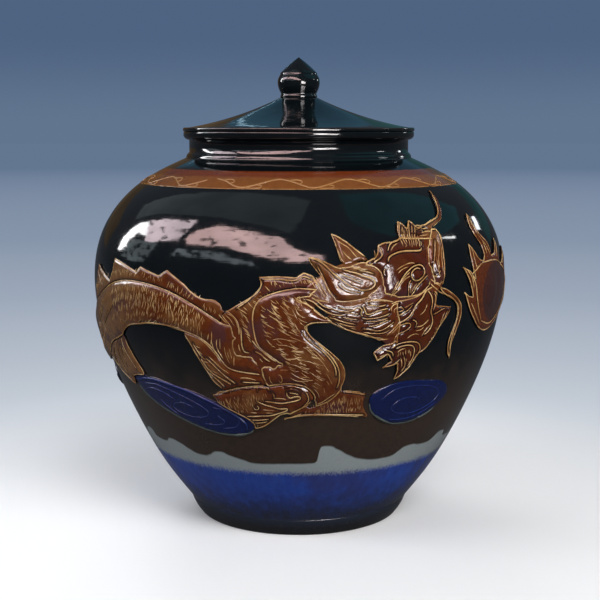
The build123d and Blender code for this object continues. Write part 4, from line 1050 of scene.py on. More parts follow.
def jar_glaze():
    """The wall: black, browner lower down, the shoulder band, and the wavy white and the blue band."""
    net = Glaze("jar_glaze")
    z = net.height
    fine = net.mottle(0.16)
    drift = net.mottle(0.05, 3, 0.5) - 0.5
    black = net.mix(net.mottle(0.02, 4, 0.5), *BLACK)
    body = net.mix(net.ease(z + drift * 60.0, *LOW_BROWN_HEIGHTS), black, net.mix(fine, *LOW_BROWN))
    band = net.mix(net.ease(z + drift * 3.0, *BAND_SPLIT), net.mix(fine, *BAND_TAN), net.mix(fine, *BAND_RED))
    in_band = net.ease(z, BAND_LOW - 0.5, BAND_LOW + 0.5) * net.ease(z, BAND_HIGH + 0.5, BAND_HIGH - 0.5)
    body = net.mix(in_band, body, band)
    bends = [((a + WAVE_SPAN / 2) / WAVE_SPAN, (h - WAVE_LOW) / (WAVE_HIGH - WAVE_LOW)) for a, h in WAVE]
    share = ((net.azimuth + 1.5 * WAVE_SPAN) % WAVE_SPAN) / WAVE_SPAN
    edge = net.add("ShaderNodeFloatCurve", {"bends": bends}, Value=share) * (WAVE_HIGH - WAVE_LOW) + WAVE_LOW
    below = edge - z + (fine - 0.5) * 0.8
    white = net.mix(net.mottle(0.35, 5, 0.7), *WHITE)
    white = net.mix(net.ease(below, 1.8, 0.2), white, WHITE_EDGE)
    streak = net.mottle(0.14, 4, 0.6, stretch=0.12)
    hair = net.mottle(0.7, 2, 0.5, stretch=0.06)
    smoky = net.mottle(0.018, 4, 0.6, stretch=0.4)
    blue = net.mix(net.ease(smoky, 0.46, 0.66) * 0.5, net.mix(streak, *BLUE), BLUE_SMOKE)
    blue = net.mix(net.ease(z + (streak - 0.5) * 30.0, *LOW_BLUE_HEIGHTS), blue, net.mix(fine, *LOW_BLUE))
    lower = net.mix(net.ease(z + (streak - 0.5) * 3.0 + (hair - 0.5) * 9.0, *WHITE_HEIGHTS), white, blue)
    body = net.mix(net.ease(below, -0.25, 0.25), body, lower)
    rings = net.cloud(net.place * (0.1, 0.1, 1.0), 0.09, 3)
    height = rings * 0.5 + net.mottle(0.045, 2, 0.5) * 0.6
    return net.finished(body, net.sheen(fine, 0.05, 0.12), height, 0.3)


def lid_glaze():
    """The lid and its knob: near-black, thin and brown where an edge lets it run off."""
    net = Glaze("black_glaze")
    fine = net.mottle(0.16)
    thin = net.ease((net.height - LID_EDGE_TOP + 1.0).do("ABSOLUTE") + fine * 1.2, 1.6, 0.4)
    body = net.mix(thin * 0.5, net.mix(net.mottle(0.02, 4, 0.5), *LID_BLACK), THIN_BROWN)
    return net.finished(body, net.sheen(fine, 0.05, 0.12), net.mottle(0.05, 2, 0.5), 0.3)


def foot_glaze():
    """The foot: thin dark brown-grey glaze with bare clay where it stands."""
    net = Glaze("foot_glaze")
    fine = net.mottle(0.25, 6, 0.65)
    skin = net.mix(net.ease(net.height, 2, FOOT_TOP), *FOOT_SKIN)
    skin = net.mix(net.ease(fine, 0.5, 0.8), skin, FOOT_FLECK)
    ragged = net.height + fine * 1.4
    body = net.mix(net.ease(ragged, 1.8, 0.8), skin, net.mix(fine, *BARE_CLAY))
    return net.finished(body, net.ease(ragged, 2.0, 0.8, 0.14, 0.8), fine, 0.4)


def amber_glaze(name, amber, honeyed):
    """The relief: amber over clay, paler tan towards the trunk's left, plum patches of painted reflection,
    and near-black in grooves and at edges, which is glaze pooled there and painted shade.
    """
    net = Glaze(name)
    fine = net.mottle(0.22)
    broad = net.mottle(0.035, 3, 0.5)
    body = net.mix(net.ease(broad, 0.47, 0.68) * honeyed, net.mix(fine, *amber), net.mix(fine, *HONEY))
    # Paler tan towards the trunk's left end
    trunk_left = net.ease(net.azimuth, -38, -58) * net.ease(net.azimuth, -100, -76) * 0.8
    body = net.mix(trunk_left, body, net.mix(fine, *TRUNK_LEFT_TAN))
    # Plum patches at random places: painted reflection
    body = net.mix(net.ease(broad, 0.46, 0.3) * 0.7, body, PLUM_SHEEN)
    # Near-black beside the bolder lines and at the outline: glaze pooled there, and painted shade in the
    # grooves and where the relief meets the wall
    dark = (net.attribute("pool") * 0.95).most(net.ease(net.attribute("edge") / MM, 1.8, 0.3)).least(1.0)
    body = net.mix(dark * 0.92, body, POOLED_AND_SHADED)
    return net.finished(body, net.sheen(fine, 0.06, 0.16), fine * 0.6 + broad * 1.5, 0.5)


def slip_glaze():
    """The trailed lines: honey-pale on their tops, dark where they meet the body, which is glaze pooled there
    and painted shade.
    """
    net = Glaze("slip_glaze")
    fine = net.mottle(0.35, 5, 0.65)
    pale = net.mix(net.ease(net.mottle(0.05, 3, 0.5), 0.35, 0.65), *SLIP)
    pale = net.mix(net.ease(fine, 0.55, 0.3) * 0.7, pale, SLIP_STAIN)
    body = net.mix(net.ease(net.attribute("crest"), 0.2, 0.82), SLIP_FOOT, pale)
    return net.finished(body, net.sheen(fine, 0.06, 0.15), fine, 0.4)


def cobalt_glaze():
    """The clouds: cobalt, darker in grooves and at edges, which is cobalt pooled there and painted shade."""
    net = Glaze("cobalt_glaze")
    fine = net.mottle(0.2)
    body = net.mix(net.ease(net.attribute("edge") / MM, 1.2, 0.2), net.mix(fine, *COBALT), DARK_COBALT)
    body = net.mix(net.attribute("pool") * 0.6, body, DARK_COBALT)
    return net.finished(body, net.sheen(fine, 0.06, 0.14), fine, 0.4)


def plain_glaze(name, *pair):
    """A glaze of one colour with fine mottling, for the lines on clouds and band."""
    net = Glaze(name)
    fine = net.mottle(0.2)
    return net.finished(net.mix(fine, *pair), net.sheen(fine, 0.08, 0.2), fine, 0.4)


def pearl_glaze():
    """The pearl and its flames: a disc streaked dark red-brown, and amber outside it."""
    net = Glaze("pearl_glaze")
    (azimuth, half_width), (height, half_height) = PEARL_DISC
    aside, above = (net.azimuth - azimuth) / half_width, (net.height - height) / half_height
    away = (aside ** 2 + above ** 2).do("SQRT")
    fine = net.mottle(0.3, stretch=0.25)
    flames = net.mix(net.mottle(0.22), *PEARL_AMBER)
    # The flames darken at their outline: glaze pooled there and painted shade where they meet the wall
    flames = net.mix(net.ease(net.attribute("edge") / MM, 1.6, 0.3) * 0.9, flames, POOLED_AND_SHADED)
    body = net.mix(net.ease(away, 0.97, 1.03), net.mix(fine, *PEARL_DARK), flames)
    return net.finished(body, net.sheen(fine, 0.07, 0.16), fine, 0.3)


GLAZES = {
    "jar": jar_glaze(), "lid": lid_glaze(), "foot": foot_glaze(),
    "amber": amber_glaze("amber_glaze", AMBER, 0.8),
    "deep amber": amber_glaze("deep_amber_glaze", DEEP_AMBER, 0.1),
    "slip": slip_glaze(), "cobalt": cobalt_glaze(),
    "cloud line": plain_glaze("cloud_line", (0.006, 0.012, 0.075), (0.016, 0.034, 0.16)),
    "cloud rim": plain_glaze("cloud_rim", (0.035, 0.045, 0.042), (0.1, 0.12, 0.11)),
    "vine": plain_glaze("vine_slip", (0.2, 0.08, 0.022), (0.42, 0.21, 0.07)), "pearl": pearl_glaze(),
}

# Turned pieces

SEAM_GAP = 0.01


def wheel_tree():
    """Turns a row of section points about the upright axis."""
    net, given = geometry_net("turned on the wheel", Rows="Int", Columns="Int", Glaze="Material")
    sheet = net.add("GeometryNodeMeshGrid", Vertices_X=given["Columns"] + 1, Vertices_Y=given["Rows"])
    index = net.add("GeometryNodeInputIndex")
    column = (index / given["Rows"]).do("FLOOR")
    section = net.add("GeometryNodeSampleIndex", {"data_type": "FLOAT_VECTOR"}, Geometry=given["Geometry"],
                      Value=net.add("GeometryNodeInputPosition"), Index=index % given["Rows"])
    radius, _, height = net.split(section)
    turn = column / given["Columns"] * math.tau
    place = net.join(radius * turn.do("COSINE"), radius * turn.do("SINE"), height)
    turned = net.add("GeometryNodeSetPosition", Geometry=sheet, Position=place)
    closed = net.add("GeometryNodeMergeByDistance", Geometry=turned, Distance=SEAM_GAP * MM)
    return finish_tree(net, net.add("GeometryNodeSetShadeSmooth", Geometry=closed), given["Glaze"])


WHEEL = wheel_tree()


def turned(name, section, glaze, columns):
    """A turned piece from its section, radius and height."""
    start = plain_mesh(name, [(r, 0, z) for r, z in np.array(section, float) * MM])
    piece = grown(name, start, WHEEL, Rows=len(section), Columns=columns, Glaze=GLAZES[glaze])
    face_out(piece.data)
    return piece


def face_out(mesh):
    """Turns the faces round where they point inwards, by the sign of the volume."""
    mesh.calc_loop_triangles()
    corners = np.array([v.co for v in mesh.vertices])
    sides = np.array([t.vertices for t in mesh.loop_triangles])
    a, b, c = (corners[sides[:, k]] for k in range(3))
    if np.einsum("ij,ij->i", a, np.cross(b, c)).sum() < 0:
        mesh.flip_normals()


def inner_wall():
    """The inside of the wall, from the neck's bore down to the floor."""
    way = np.gradient(OUTER, axis=0)
    away = np.column_stack([-way[:, 1], way[:, 0]]) / np.hypot(*way.T)[:, None]
    line = OUTER + away * WALL_THICKNESS
    line = line[(line[:, 1] > FOOT_TOP) & (line[:, 0] > BORE_RADIUS)][::-2]
    return line[line[:, 1] < SHOULDER + 4]


def wall_section():
    """Outside from the foot seam to the rim, and back down the inside."""
    seam = [(FOOT_RADIUS - 0.8, FOOT_TOP - 0.5), (FOOT_RADIUS + 0.15, FOOT_TOP - 0.5),
            (FOOT_RADIUS + 0.15, FOOT_TOP)]
    outside = OUTER[OUTER[:, 1] > FOOT_TOP + 0.8]
    neck = bowed(OUTER[-1], (NECK_RADIUS, NECK_COVE_TOP), 0.9, 6)[1:]
    lip = bowed((NECK_RADIUS, LIP_FOOT), (RIM_RADIUS, LIP_EDGE), 1.0, 6)
    top = (RIM_RADIUS, RIM_TOP)
    edge = eased((RIM_RADIUS, LIP_EDGE), top, (BORE_RADIUS, RIM_TOP), 1.8)
    bore = eased(top, (BORE_RADIUS, RIM_TOP), (BORE_RADIUS, LIP_FOOT), 1.5)
    inside = inner_wall()
    return [*seam, *outside, *neck, *lip, *edge, *bore, *inside, (inside[-1][0], FOOT_TOP), seam[0]]


def foot_section():
    """The floor between wall and ground, and the ring that the jar stands on."""
    middle = (0, FLOOR_LOW)
    recess, inner, outer = (STAND_INNER, FLOOR_LOW), (STAND_INNER, 0), (STAND_OUTER, 0)
    seam = (FOOT_RADIUS, FOOT_TOP)
    flare = bowed((STAND_OUTER + 1.3, 2.6), seam, 1.2, 8)[1:]
    return [middle, *eased(middle, recess, inner, 1.0), *eased(recess, inner, outer, 2.0),
            *eased(inner, outer, seam, 2.5), *flare, (60, FOOT_TOP), (0, FOOT_TOP), middle]


def lid_section():
    """The cover: a low cone that is hollowed a little, over the ring that drops into the neck."""
    inner, inner_foot = (RING_INNER, RIM_TOP), (RING_INNER, RING_FOOT)
    outer, outer_foot = (RING_OUTER, RIM_TOP), (RING_OUTER, RING_FOOT)
    lip, lip_top, land = (LID_RADIUS, RIM_TOP), (LID_RADIUS, LID_EDGE_TOP), (LID_LAND, LID_EDGE_TOP)
    under = bowed((KNOB_SEAT, LID_UNDER), inner, LID_HOLLOW, 16)
    cone = bowed(land, (KNOB_SEAT, LID_TOP), -LID_HOLLOW, 24)
    return [(0, LID_UNDER), *under, *eased(inner, inner_foot, outer_foot, 1.5),
            *eased(inner_foot, outer_foot, outer, 1.5), (RING_OUTER, RIM_TOP - 0.2),
            *eased(outer, lip, lip_top, 1.4), *eased(lip, lip_top, land, 1.7), *cone, (0, LID_TOP),
            (0, LID_UNDER)]


def knob_section():
    """A pinched bud: collar, waist, ball, crease and a pointed cap."""
    ball, crease = ([(r, LID_TOP + h) for r, h in part] for part in (KNOB_BALL, KNOB_CREASE))
    seat, edge = (0, LID_TOP), (KNOB_FOOT, LID_TOP)
    collar = (KNOB_FOOT, LID_TOP + 2.4)
    cap = bowed((KNOB_CAP[0], LID_TOP + KNOB_CAP[1]), (1.2, KNOB_TIP - 0.6), 0.6, 12)
    return [seat, *eased(seat, edge, collar, 0.8), *eased(edge, collar, ball[0], 0.7),
            *through(ball, 0.9)[1:], *crease, *cap, (0.6, KNOB_TIP), (0, KNOB_TIP), seat]


# Reliefs

CLAY_SINK = 0.8
CLAY_STEP = 0.8
UNDER_SINK = 1.4
UNDER_STEP = 8.0
WELD_GAP = 0.02
SWAY = 0.16
SWAY_SCALE = 70
SWAY_PLANE = 3.1
GROOVE_DEPTH = 0.45
GROOVE_RIM = 2.0
# Where the groove and its painted shade lie beside a bold line: gap from the line, then width
POOL_GAP = 1.05
POOL_WIDTH = 0.75
BOLD_WIDTH = 1.05
MARK_STEP = 0.7
EDGE_WIDTH = 1.5
EDGE_INSET = 0.7
SHORTEST_EDGE = 5
MEETING_GAP = 3.6
SHARED_GAP = 4.2
ON_LINE = 1e-6

# Azimuth beyond which a relief's edge has no line
OPEN_ENDS = {"dragon_far_foreleg": 17.6}


def pearl_outline():
    """The pearl's circle on the wall as a run of azimuths and heights."""
    turns = [math.tau * i / PEARL_POINTS for i in range(PEARL_POINTS)]
    return [[(PEARL_AZIMUTH + math.degrees(PEARL_RADIUS * MM * math.sin(t) / BELLY),
              PEARL_HEIGHT + PEARL_RADIUS * math.cos(t)) for t in turns]]


def drawn(runs):
    """The outline of a relief laid flat: a run of one point is a corner, a longer one is smooth."""
    step = OUTLINE_STEP * MM
    if len(runs) == 1:
        return through(flat(runs[0]), step, closed=True)
    line = np.vstack([flat(run) if len(run) == 1 else through(flat(run), step) for run in runs])
    filled = []
    for here, there in zip(line, np.roll(line, -1, axis=0)):
        count = max(1, math.ceil(np.hypot(*(there - here)) / step))
        filled += [here + (there - here) * k / count for k in range(count)]
    return np.array(filled)


def meshed(outline, step):
    """Triangles that fill an outline, with inner points on a staggered grid."""
    low, high = outline.min(axis=0), outline.max(axis=0)
    rise = step * math.sqrt(3) / 2
    inner = np.array([(low[0] + (i + 0.5 * (j % 2)) * step, low[1] + j * rise)
                      for j in range(1, math.ceil((high[1] - low[1]) / rise))
                      for i in range(math.ceil((high[0] - low[0]) / step) + 1)]).reshape(-1, 2)
    inner = inner[inside(inner, outline) & (to_line(inner, outline) > 0.55 * step)]
    ring = [(i, (i + 1) % len(outline)) for i in range(len(outline))]
    points = [Vector(p) for p in (*outline, *inner)]
    places, _, faces = geometry.delaunay_2d_cdt(points, ring, [], 1, 1e-7, False)[:3]
    return np.array([(p[0], p[1]) for p in places]), faces


def inside(points, outline):
    """Which points lie inside a closed line."""
    found = np.zeros(len(points), bool)
    for (x1, y1), (x2, y2) in zip(outline, np.roll(outline, -1, axis=0)):
        if y1 == y2:
            continue
        crosses = (points[:, 1] < y1) != (points[:, 1] < y2)
        found ^= crosses & (points[:, 0] < x1 + (points[:, 1] - y1) * (x2 - x1) / (y2 - y1))
    return found


def to_line(points, outline):
    """Distance of each point to a closed line."""
    way = np.roll(outline, -1, axis=0) - outline
    size = (way ** 2).sum(axis=1) + 1e-18
    nearest = np.full(len(points), 1e9)
    for start, step, length in zip(outline, way, size):
        share = np.clip(((points - start) @ step) / length, 0, 1)[:, None]
        nearest = np.minimum(nearest, np.hypot(*(points - start - step * share).T))
    return nearest


def tree_of(points):
    """A search tree of flat points."""
    tree = kdtree.KDTree(len(points))
    for i, (x, y) in enumerate(points):
        tree.insert((x, y, 0), i)
    tree.balance()
    return tree


def met(outlines):
    """The outlines with the narrow gaps between neighbours closed, and each point's nearest neighbour."""
    closer, beside = {}, {}
    for name, outline in outlines.items():
        others = [(other, point) for other, line in outlines.items() if other != name for point in line]
        tree = tree_of([point for _, point in others])
        found = [tree.find((x, y, 0)) for x, y in outline]
        gap = np.array([f[2] for f in found])[:, None]
        toward = np.array([f[0][:2] for f in found]) - outline
        closer[name] = outline + np.where(gap < MEETING_GAP * MM, 0.5 * toward, 0)
        beside[name] = [others[f[1]][0] if f[2] < SHARED_GAP * MM else None for f in found]
    return closer, beside


def inset(outline, gap):
    """A closed line moved inwards."""
    ahead = np.roll(outline, -1, axis=0) - np.roll(outline, 1, axis=0)
    side = np.column_stack([-ahead[:, 1], ahead[:, 0]]) / (np.hypot(*ahead.T)[:, None] + 1e-12)
    area = np.sum(outline[:, 0] * np.roll(outline[:, 1], -1) - np.roll(outline[:, 0], -1) * outline[:, 1])
    return outline + side * gap * MM * (1 if area > 0 else -1)


def edge_lines(name, outline, beside):
    """The outline as trailed lines, left out where a higher neighbour draws the shared edge."""
    last = math.radians(OPEN_ENDS.get(name, 360)) * BELLY
    kept = [(other is None or (RELIEFS[other][0], other) < (RELIEFS[name][0], name)) and point[0] < last
            for other, point in zip(beside, outline)]
    line = inset(outline, EDGE_INSET)
    if all(kept):
        return [(EDGE_WIDTH, line[::2], True)]
    first = kept.index(False)
    runs = [[]]
    for i in range(first, first + len(line)):
        if kept[i % len(line)]:
            runs[-1].append(line[i % len(line)])
        elif runs[-1]:
            runs.append([])
    return [(EDGE_WIDTH, np.array(run[::2]), False) for run in runs if len(run) > SHORTEST_EDGE]


def pool_and_shade_mask(places, lines):
    """How near each place is to the bolder lines, full beside a line and nothing further off: it sinks a
    groove there, and the glazes paint pooled glaze and shade into it.
    """
    bold = [line for width, line, _ in lines if width > BOLD_WIDTH]
    marks = [point for line in bold for point in through(line, MARK_STEP * MM)]
    if not marks:
        return np.zeros(len(places))
    tree = tree_of(marks)
    gap = np.array([tree.find((x, y, 0))[2] for x, y in places]) / MM
    return np.exp(-((gap - POOL_GAP) / POOL_WIDTH) ** 2)


def relief(name, outline, rise, rim, glaze, lines):
    """Clay laid on the wall: swelling from its outline over a rim, sunk a little into the wall below."""
    places, faces = meshed(outline, CLAY_STEP * MM)
    edge = to_line(places, outline)
    share = np.clip(edge / (rim * MM), 0, 1)
    sway = np.array([noise.noise(Vector((x * SWAY_SCALE, y * SWAY_SCALE, SWAY_PLANE))) for x, y in places])
    pool = pool_and_shade_mask(places, lines)
    out = rise * np.sqrt(1 - (1 - share) ** 2) * (1 + SWAY * sway)
    out = out - GROOVE_DEPTH * pool * np.clip(edge / (GROOVE_RIM * MM), 0, 1)
    out[edge < ON_LINE] = -CLAY_SINK
    top = on_wall(*unflat(places), out)
    under_places, under_faces = meshed(outline, UNDER_STEP * MM)
    on_edge = to_line(under_places, outline) < ON_LINE
    under = on_wall(*unflat(under_places), np.where(on_edge, -CLAY_SINK, -UNDER_SINK))
    sides = [tuple(f) for f in faces] + [tuple(i + len(top) for i in reversed(f)) for f in under_faces]
    blank = np.zeros(len(under))
    mesh = plain_mesh(name, [*top, *under], faces=sides, edge=np.concatenate([edge, blank]),
                      pool=np.concatenate([pool, blank]))
    weld(mesh)
    mesh.shade_smooth()
    mesh.materials.append(GLAZES[glaze])
    face_out(mesh)
    return placed(name, mesh)


def weld(mesh):
    """Joins points that share a place."""
    form = bmesh.new()
    form.from_mesh(mesh)
    bmesh.ops.remove_doubles(form, verts=form.verts, dist=WELD_GAP * MM)
    form.to_mesh(mesh)
    form.free()


# Trailed slip

TRAIL_STEP = 1.3
TRAIL_SIDES = 8
TRAIL_FLAT = 0.8
TRAIL_TAPER = 3.0
TRAIL_TIP = 0.02
TRAIL_ROUNDING = 0.6
TRAIL_THINNEST = 0.01
LIFT_BLURS = 3
AIM_FROM = 0.3
STROKE_STRAY = (1.6 * MM, 4.0 * MM, 0.0)
STROKE_LENGTHS = (0.6, 1.25)
STROKE_LEANS = (-0.3, 0.3)


def aim(net, place):
    """Where a ray for a flat place starts outside the jar, and its way to the axis."""
    x, y, _ = net.split(place)
    turn = x / BELLY
    out = net.join(turn.do("SINE"), -turn.do("COSINE"), 0.0)
    return out * (AIM_FROM, AIM_FROM, AIM_FROM) + net.join(0.0, 0.0, y), out * (-1.0, -1.0, -1.0)


def hit(net, target, start, way):
    """Where the ray meets an object's surface, the normal there, and how far it went."""
    step = net.tree.nodes.new("GeometryNodeRaycast")
    surface = net.add("GeometryNodeObjectInfo", out="Geometry", Object=target)
    for name, part in (("Target Geometry", surface), ("Source Position", start), ("Ray Direction", way),
                       ("Ray Length", AIM_FROM)):
        plug(step.inputs[name], part)
    return [Wire(step.outputs["Hit " + name]) for name in ("Position", "Normal", "Distance")]


def trail_steps(net, given, curves, width):
    """Makes cords of slip along curves that are laid flat, and wraps them on the jar."""
    curves = net.evenly(curves, TRAIL_STEP * MM)
    along = net.add("GeometryNodeSplineParameter", out="Length")
    whole = net.add("GeometryNodeSplineLength", out="Length")
    closed = net.add("GeometryNodeInputSplineCyclic")
    ends = (along.least(whole - along) / (TRAIL_TAPER * MM)).most(TRAIL_TIP).least(1.0) ** TRAIL_ROUNDING
    curves = net.store(curves, "half", width * 0.5 * ends.most(closed))
    place = net.add("GeometryNodeInputPosition")
    start, way = aim(net, place)
    spot, normal, deep = hit(net, given["Wall"], start, way)
    near = hit(net, given["Surface"], start, way)[2]
    lift = (deep - near).most(0.0) * normal.do("DOT_PRODUCT", way * (-1.0, -1.0, -1.0))
    lift = net.add("GeometryNodeBlurAttribute", {"data_type": "FLOAT"}, Value=lift, Iterations=LIFT_BLURS)
    curves = net.store(curves, "lift", lift)
    curves = net.add("GeometryNodeSetCurveNormal", {"mode": "Z_UP"}, Curve=curves)
    ring = net.add("GeometryNodeCurvePrimitiveCircle", Resolution=TRAIL_SIDES, Radius=1.0)
    ring = net.add("GeometryNodeTransform", Geometry=ring, Scale=(1.0, TRAIL_FLAT, 1.0))
    half = net.stored("half")
    cords = net.add("GeometryNodeCurveToMesh", Curve=curves, Profile_Curve=ring, Scale=half, Fill_Caps=True)
    up = net.split(place)[2]
    cords = net.store(cords, "crest", up / (half * TRAIL_FLAT).most(TRAIL_THINNEST * MM))
    raised = spot + normal * (net.stored("lift") + up)
    wrapped = net.add("GeometryNodeSetPosition", Geometry=cords, Position=raised)
    return finish_tree(net, net.add("GeometryNodeSetShadeSmooth", Geometry=wrapped), given["Glaze"])


def trail_tree():
    """Lines of slip along the start mesh's edges, as wide as their points say."""
    net, given = geometry_net("trailed slip", Wall="Object", Surface="Object", Glaze="Material")
    return trail_steps(net, given, net.smooth_curves(given["Geometry"]), net.stored("width"))


def comb_tree():
    """Short strokes of slip in a row along the start mesh's edges."""
    net, given = geometry_net("combed strokes", Wall="Object", Surface="Object", Glaze="Material",
                              Spacing="Float", Long="Float", Lean="Float", Bend="Float",
                              Width="Float", Seed="Int")
    points = net.add("GeometryNodeCurveToMesh",
                     Curve=net.evenly(net.smooth_curves(given["Geometry"]), given["Spacing"]))
    strewn = net.add("FunctionNodeRandomValue", {"data_type": "FLOAT_VECTOR"}, Seed=given["Seed"] + 2)
    stray = (strewn - (0.5, 0.5, 0.5)) * STROKE_STRAY
    points = net.add("GeometryNodeSetPosition", Geometry=points, Offset=stray)
    stroke = net.add("GeometryNodeCurveQuadraticBezier", Resolution=6, Start=(0.0, 0.0, 0.0),
                     Middle=net.join(given["Bend"], 0.5, 0.0), End=(0.0, 1.0, 0.0))
    long = given["Long"] * net.random(given["Seed"], *STROKE_LENGTHS)
    lean = given["Lean"] + net.random(given["Seed"] + 1, *STROKE_LEANS)
    strokes = net.add("GeometryNodeInstanceOnPoints", Points=points, Instance=stroke,
                      Rotation=net.join(0.0, 0.0, -lean), Scale=net.join(long, long, 1.0))
    real = net.add("GeometryNodeRealizeInstances", Geometry=strokes)
    return trail_steps(net, given, real, given["Width"])


TRAILS = trail_tree()
COMBS = comb_tree()


def line_mesh(name, lines):
    """A start mesh of open and closed lines: (width, points, closed) laid flat in metres."""
    points, edges, widths = [], [], []
    for width, line, closed in lines:
        first, count = len(points), len(line)
        points += [(x, y, 0) for x, y in line]
        widths += [width * MM] * count
        edges += [(first + i, first + (i + 1) % count) for i in range(count if closed else count - 1)]
    return plain_mesh(name, points, edges=edges, width=widths)


def trailed(name, lines, surface, glaze, tree=TRAILS, **settings):
    """Lines of slip that lie on a surface."""
    return grown(name, line_mesh(name, lines), tree, Wall=bpy.data.objects["jar_wall"], Surface=surface,
                 Glaze=GLAZES[glaze], **settings)


# Pieces

def joined(piece, others):
    """Adds other objects to a piece."""
    if others:
        with bpy.context.temp_override(active_object=piece, object=piece, selected_objects=[piece, *others],
                                       selected_editable_objects=[piece, *others]):
            bpy.ops.object.join()


def surface_of(pieces):
    """One object with the faces of several, for the slip to lie on."""
    points, faces = [], []
    for piece in pieces:
        first = len(points)
        points += [v.co[:] for v in piece.data.vertices]
        faces += [tuple(first + i for i in p.vertices) for p in piece.data.polygons]
    return placed("surface", plain_mesh("surface", points, faces=faces))


def dragon_and_clouds(wall):
    """All reliefs with their beds, trailed lines and strokes."""
    outlines, beside = met({name: drawn(OUTLINES.get(name) or pearl_outline()) for name in RELIEFS})
    reliefs, lines, beds = {}, {}, {}
    for name, (rise, rim, glaze) in RELIEFS.items():
        lines[name] = [line_of(*row) for row in LINES.get(name, [])]
        reliefs[name] = relief(name, outlines[name], rise, rim, glaze, lines[name])
        if glaze != "cobalt" and name != "flaming_pearl":
            lines[name] += edge_lines(name, outlines[name], beside[name])
    for name, (runs, rise, rim) in BEDS.items():
        beds[name] = relief(name + "_bed", drawn(runs), rise, rim, "amber", [])
    surface = surface_of([wall, *reliefs.values(), *beds.values()])
    for name, piece in reliefs.items():
        cloud = name in CLOUD_RIMS
        slip = "cloud line" if cloud else "slip"
        extras = [beds[name]] if name in beds else []
        if cloud:
            extras.append(trailed(name + "_rim", [line_of(*CLOUD_RIMS[name])], surface, "cloud rim"))
        if lines[name]:
            extras.append(trailed(name + "_lines", lines[name], surface, slip))
        for i, (spacing, long, lean, bend, width, *points) in enumerate(COMBED.get(name, [])):
            extras.append(trailed(name + "_strokes", [line_of(width, *points)], surface, slip, COMBS,
                                  Spacing=spacing * MM, Long=long * MM, Lean=math.radians(lean), Bend=bend,
                                  Width=width * MM, Seed=10 * i + len(name)))
        joined(piece, extras)
        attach(piece, "jar")
        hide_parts(name)
    bpy.data.objects.remove(surface)


def shoulder_band(wall):
    """The pale line at the band's lower edge and the vine that winds round the jar above it."""
    turns = range(0, 360, VINE_REPEAT)
    ring = [(a, BAND_LOW + 0.3) for a in range(-180, 180, 3)]
    lines = [(0.9, flat(ring), True), line_of(1.3, *[(a + turn, h) for turn in turns for a, h in STEM])]
    lines += [line_of(1.0, *[(a + turn, h) for a, h in shape]) for turn in turns for shape in (LEAF, CURL)]
    piece = trailed("shoulder_vine", lines, wall, "vine")
    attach(piece, "jar")


def jar():
    wall = turned("jar_wall", wall_section(), "jar", WALL_COLUMNS)
    foot = turned("jar_foot", foot_section(), "foot", FOOT_COLUMNS)
    dragon_and_clouds(wall)
    shoulder_band(wall)
    for piece, nodes, finish in ((wall, ("lower_wall", "upper_wall", "neck_rim"), "dark_glaze"),
                                 (foot, ("foot_ring", "floor_slab"), "foot_glaze")):
        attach(piece, "jar")
        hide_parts(*nodes)


def lid():
    cover = turned("lid_top", lid_section(), "lid", LID_COLUMNS)
    knob = turned("bud_knob", knob_section(), "lid", KNOB_COLUMNS)
    for piece, nodes in ((cover, ("lid_cover", "lid_locating_ring")), (knob, ("lid_knob",))):
        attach(piece, "lid")
        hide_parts(*nodes)


# Room

CAMERA_PLACE = Vector((0, -1.325, 0.4185))
CAMERA_PITCH = 8.07
FOCAL_PIXELS = 1220.0
IMAGE_PIXELS = 600.0
AXIS_PIXEL = 298.7
SENSOR = 36.0
AIMED_AT = (0, 0, 0.22)
PANE_ROWS = 4
BLOT_EDGE = (-0.03, 0.04)
BLOT_GLOW = 0.06
FLOOR_HALF = 30
FLOOR_LIT = (0.22, 0.72)
FLOOR_PALE = (0.93, 0.935, 0.95)
FLOOR_REFLECTED = (0.1, 0.103, 0.11)
FLOOR_AHEAD = (0.0, 0.45, 0.0)
FLOOR_REACH = 12.0
LEVEL = (1.0, 1.0, 0.0)
FLOOR_COLOURS = [(0.0, (0.95, 0.95, 0.96)), (0.0267, (0.94, 0.94, 0.95)), (0.0367, (0.855, 0.863, 0.896)),
                 (0.0533, (0.708, 0.745, 0.799)), (0.0775, (0.578, 0.623, 0.686)),
                 (0.1167, (0.451, 0.503, 0.578)), (0.1825, (0.332, 0.386, 0.479)),
                 (0.3167, (0.235, 0.296, 0.392)), (0.7417, (0.168, 0.223, 0.328)),
                 (1.0, (0.12, 0.178, 0.275))]
HORIZON = (0.12, 0.178, 0.275)
SKY = (0.078, 0.127, 0.22)
DIM_LOW = (0.05, 0.055, 0.065)
DIM_HIGH = (0.1, 0.11, 0.13)

# Panes: lower line, upper line on the wall where they show, strength, colour, and other settings

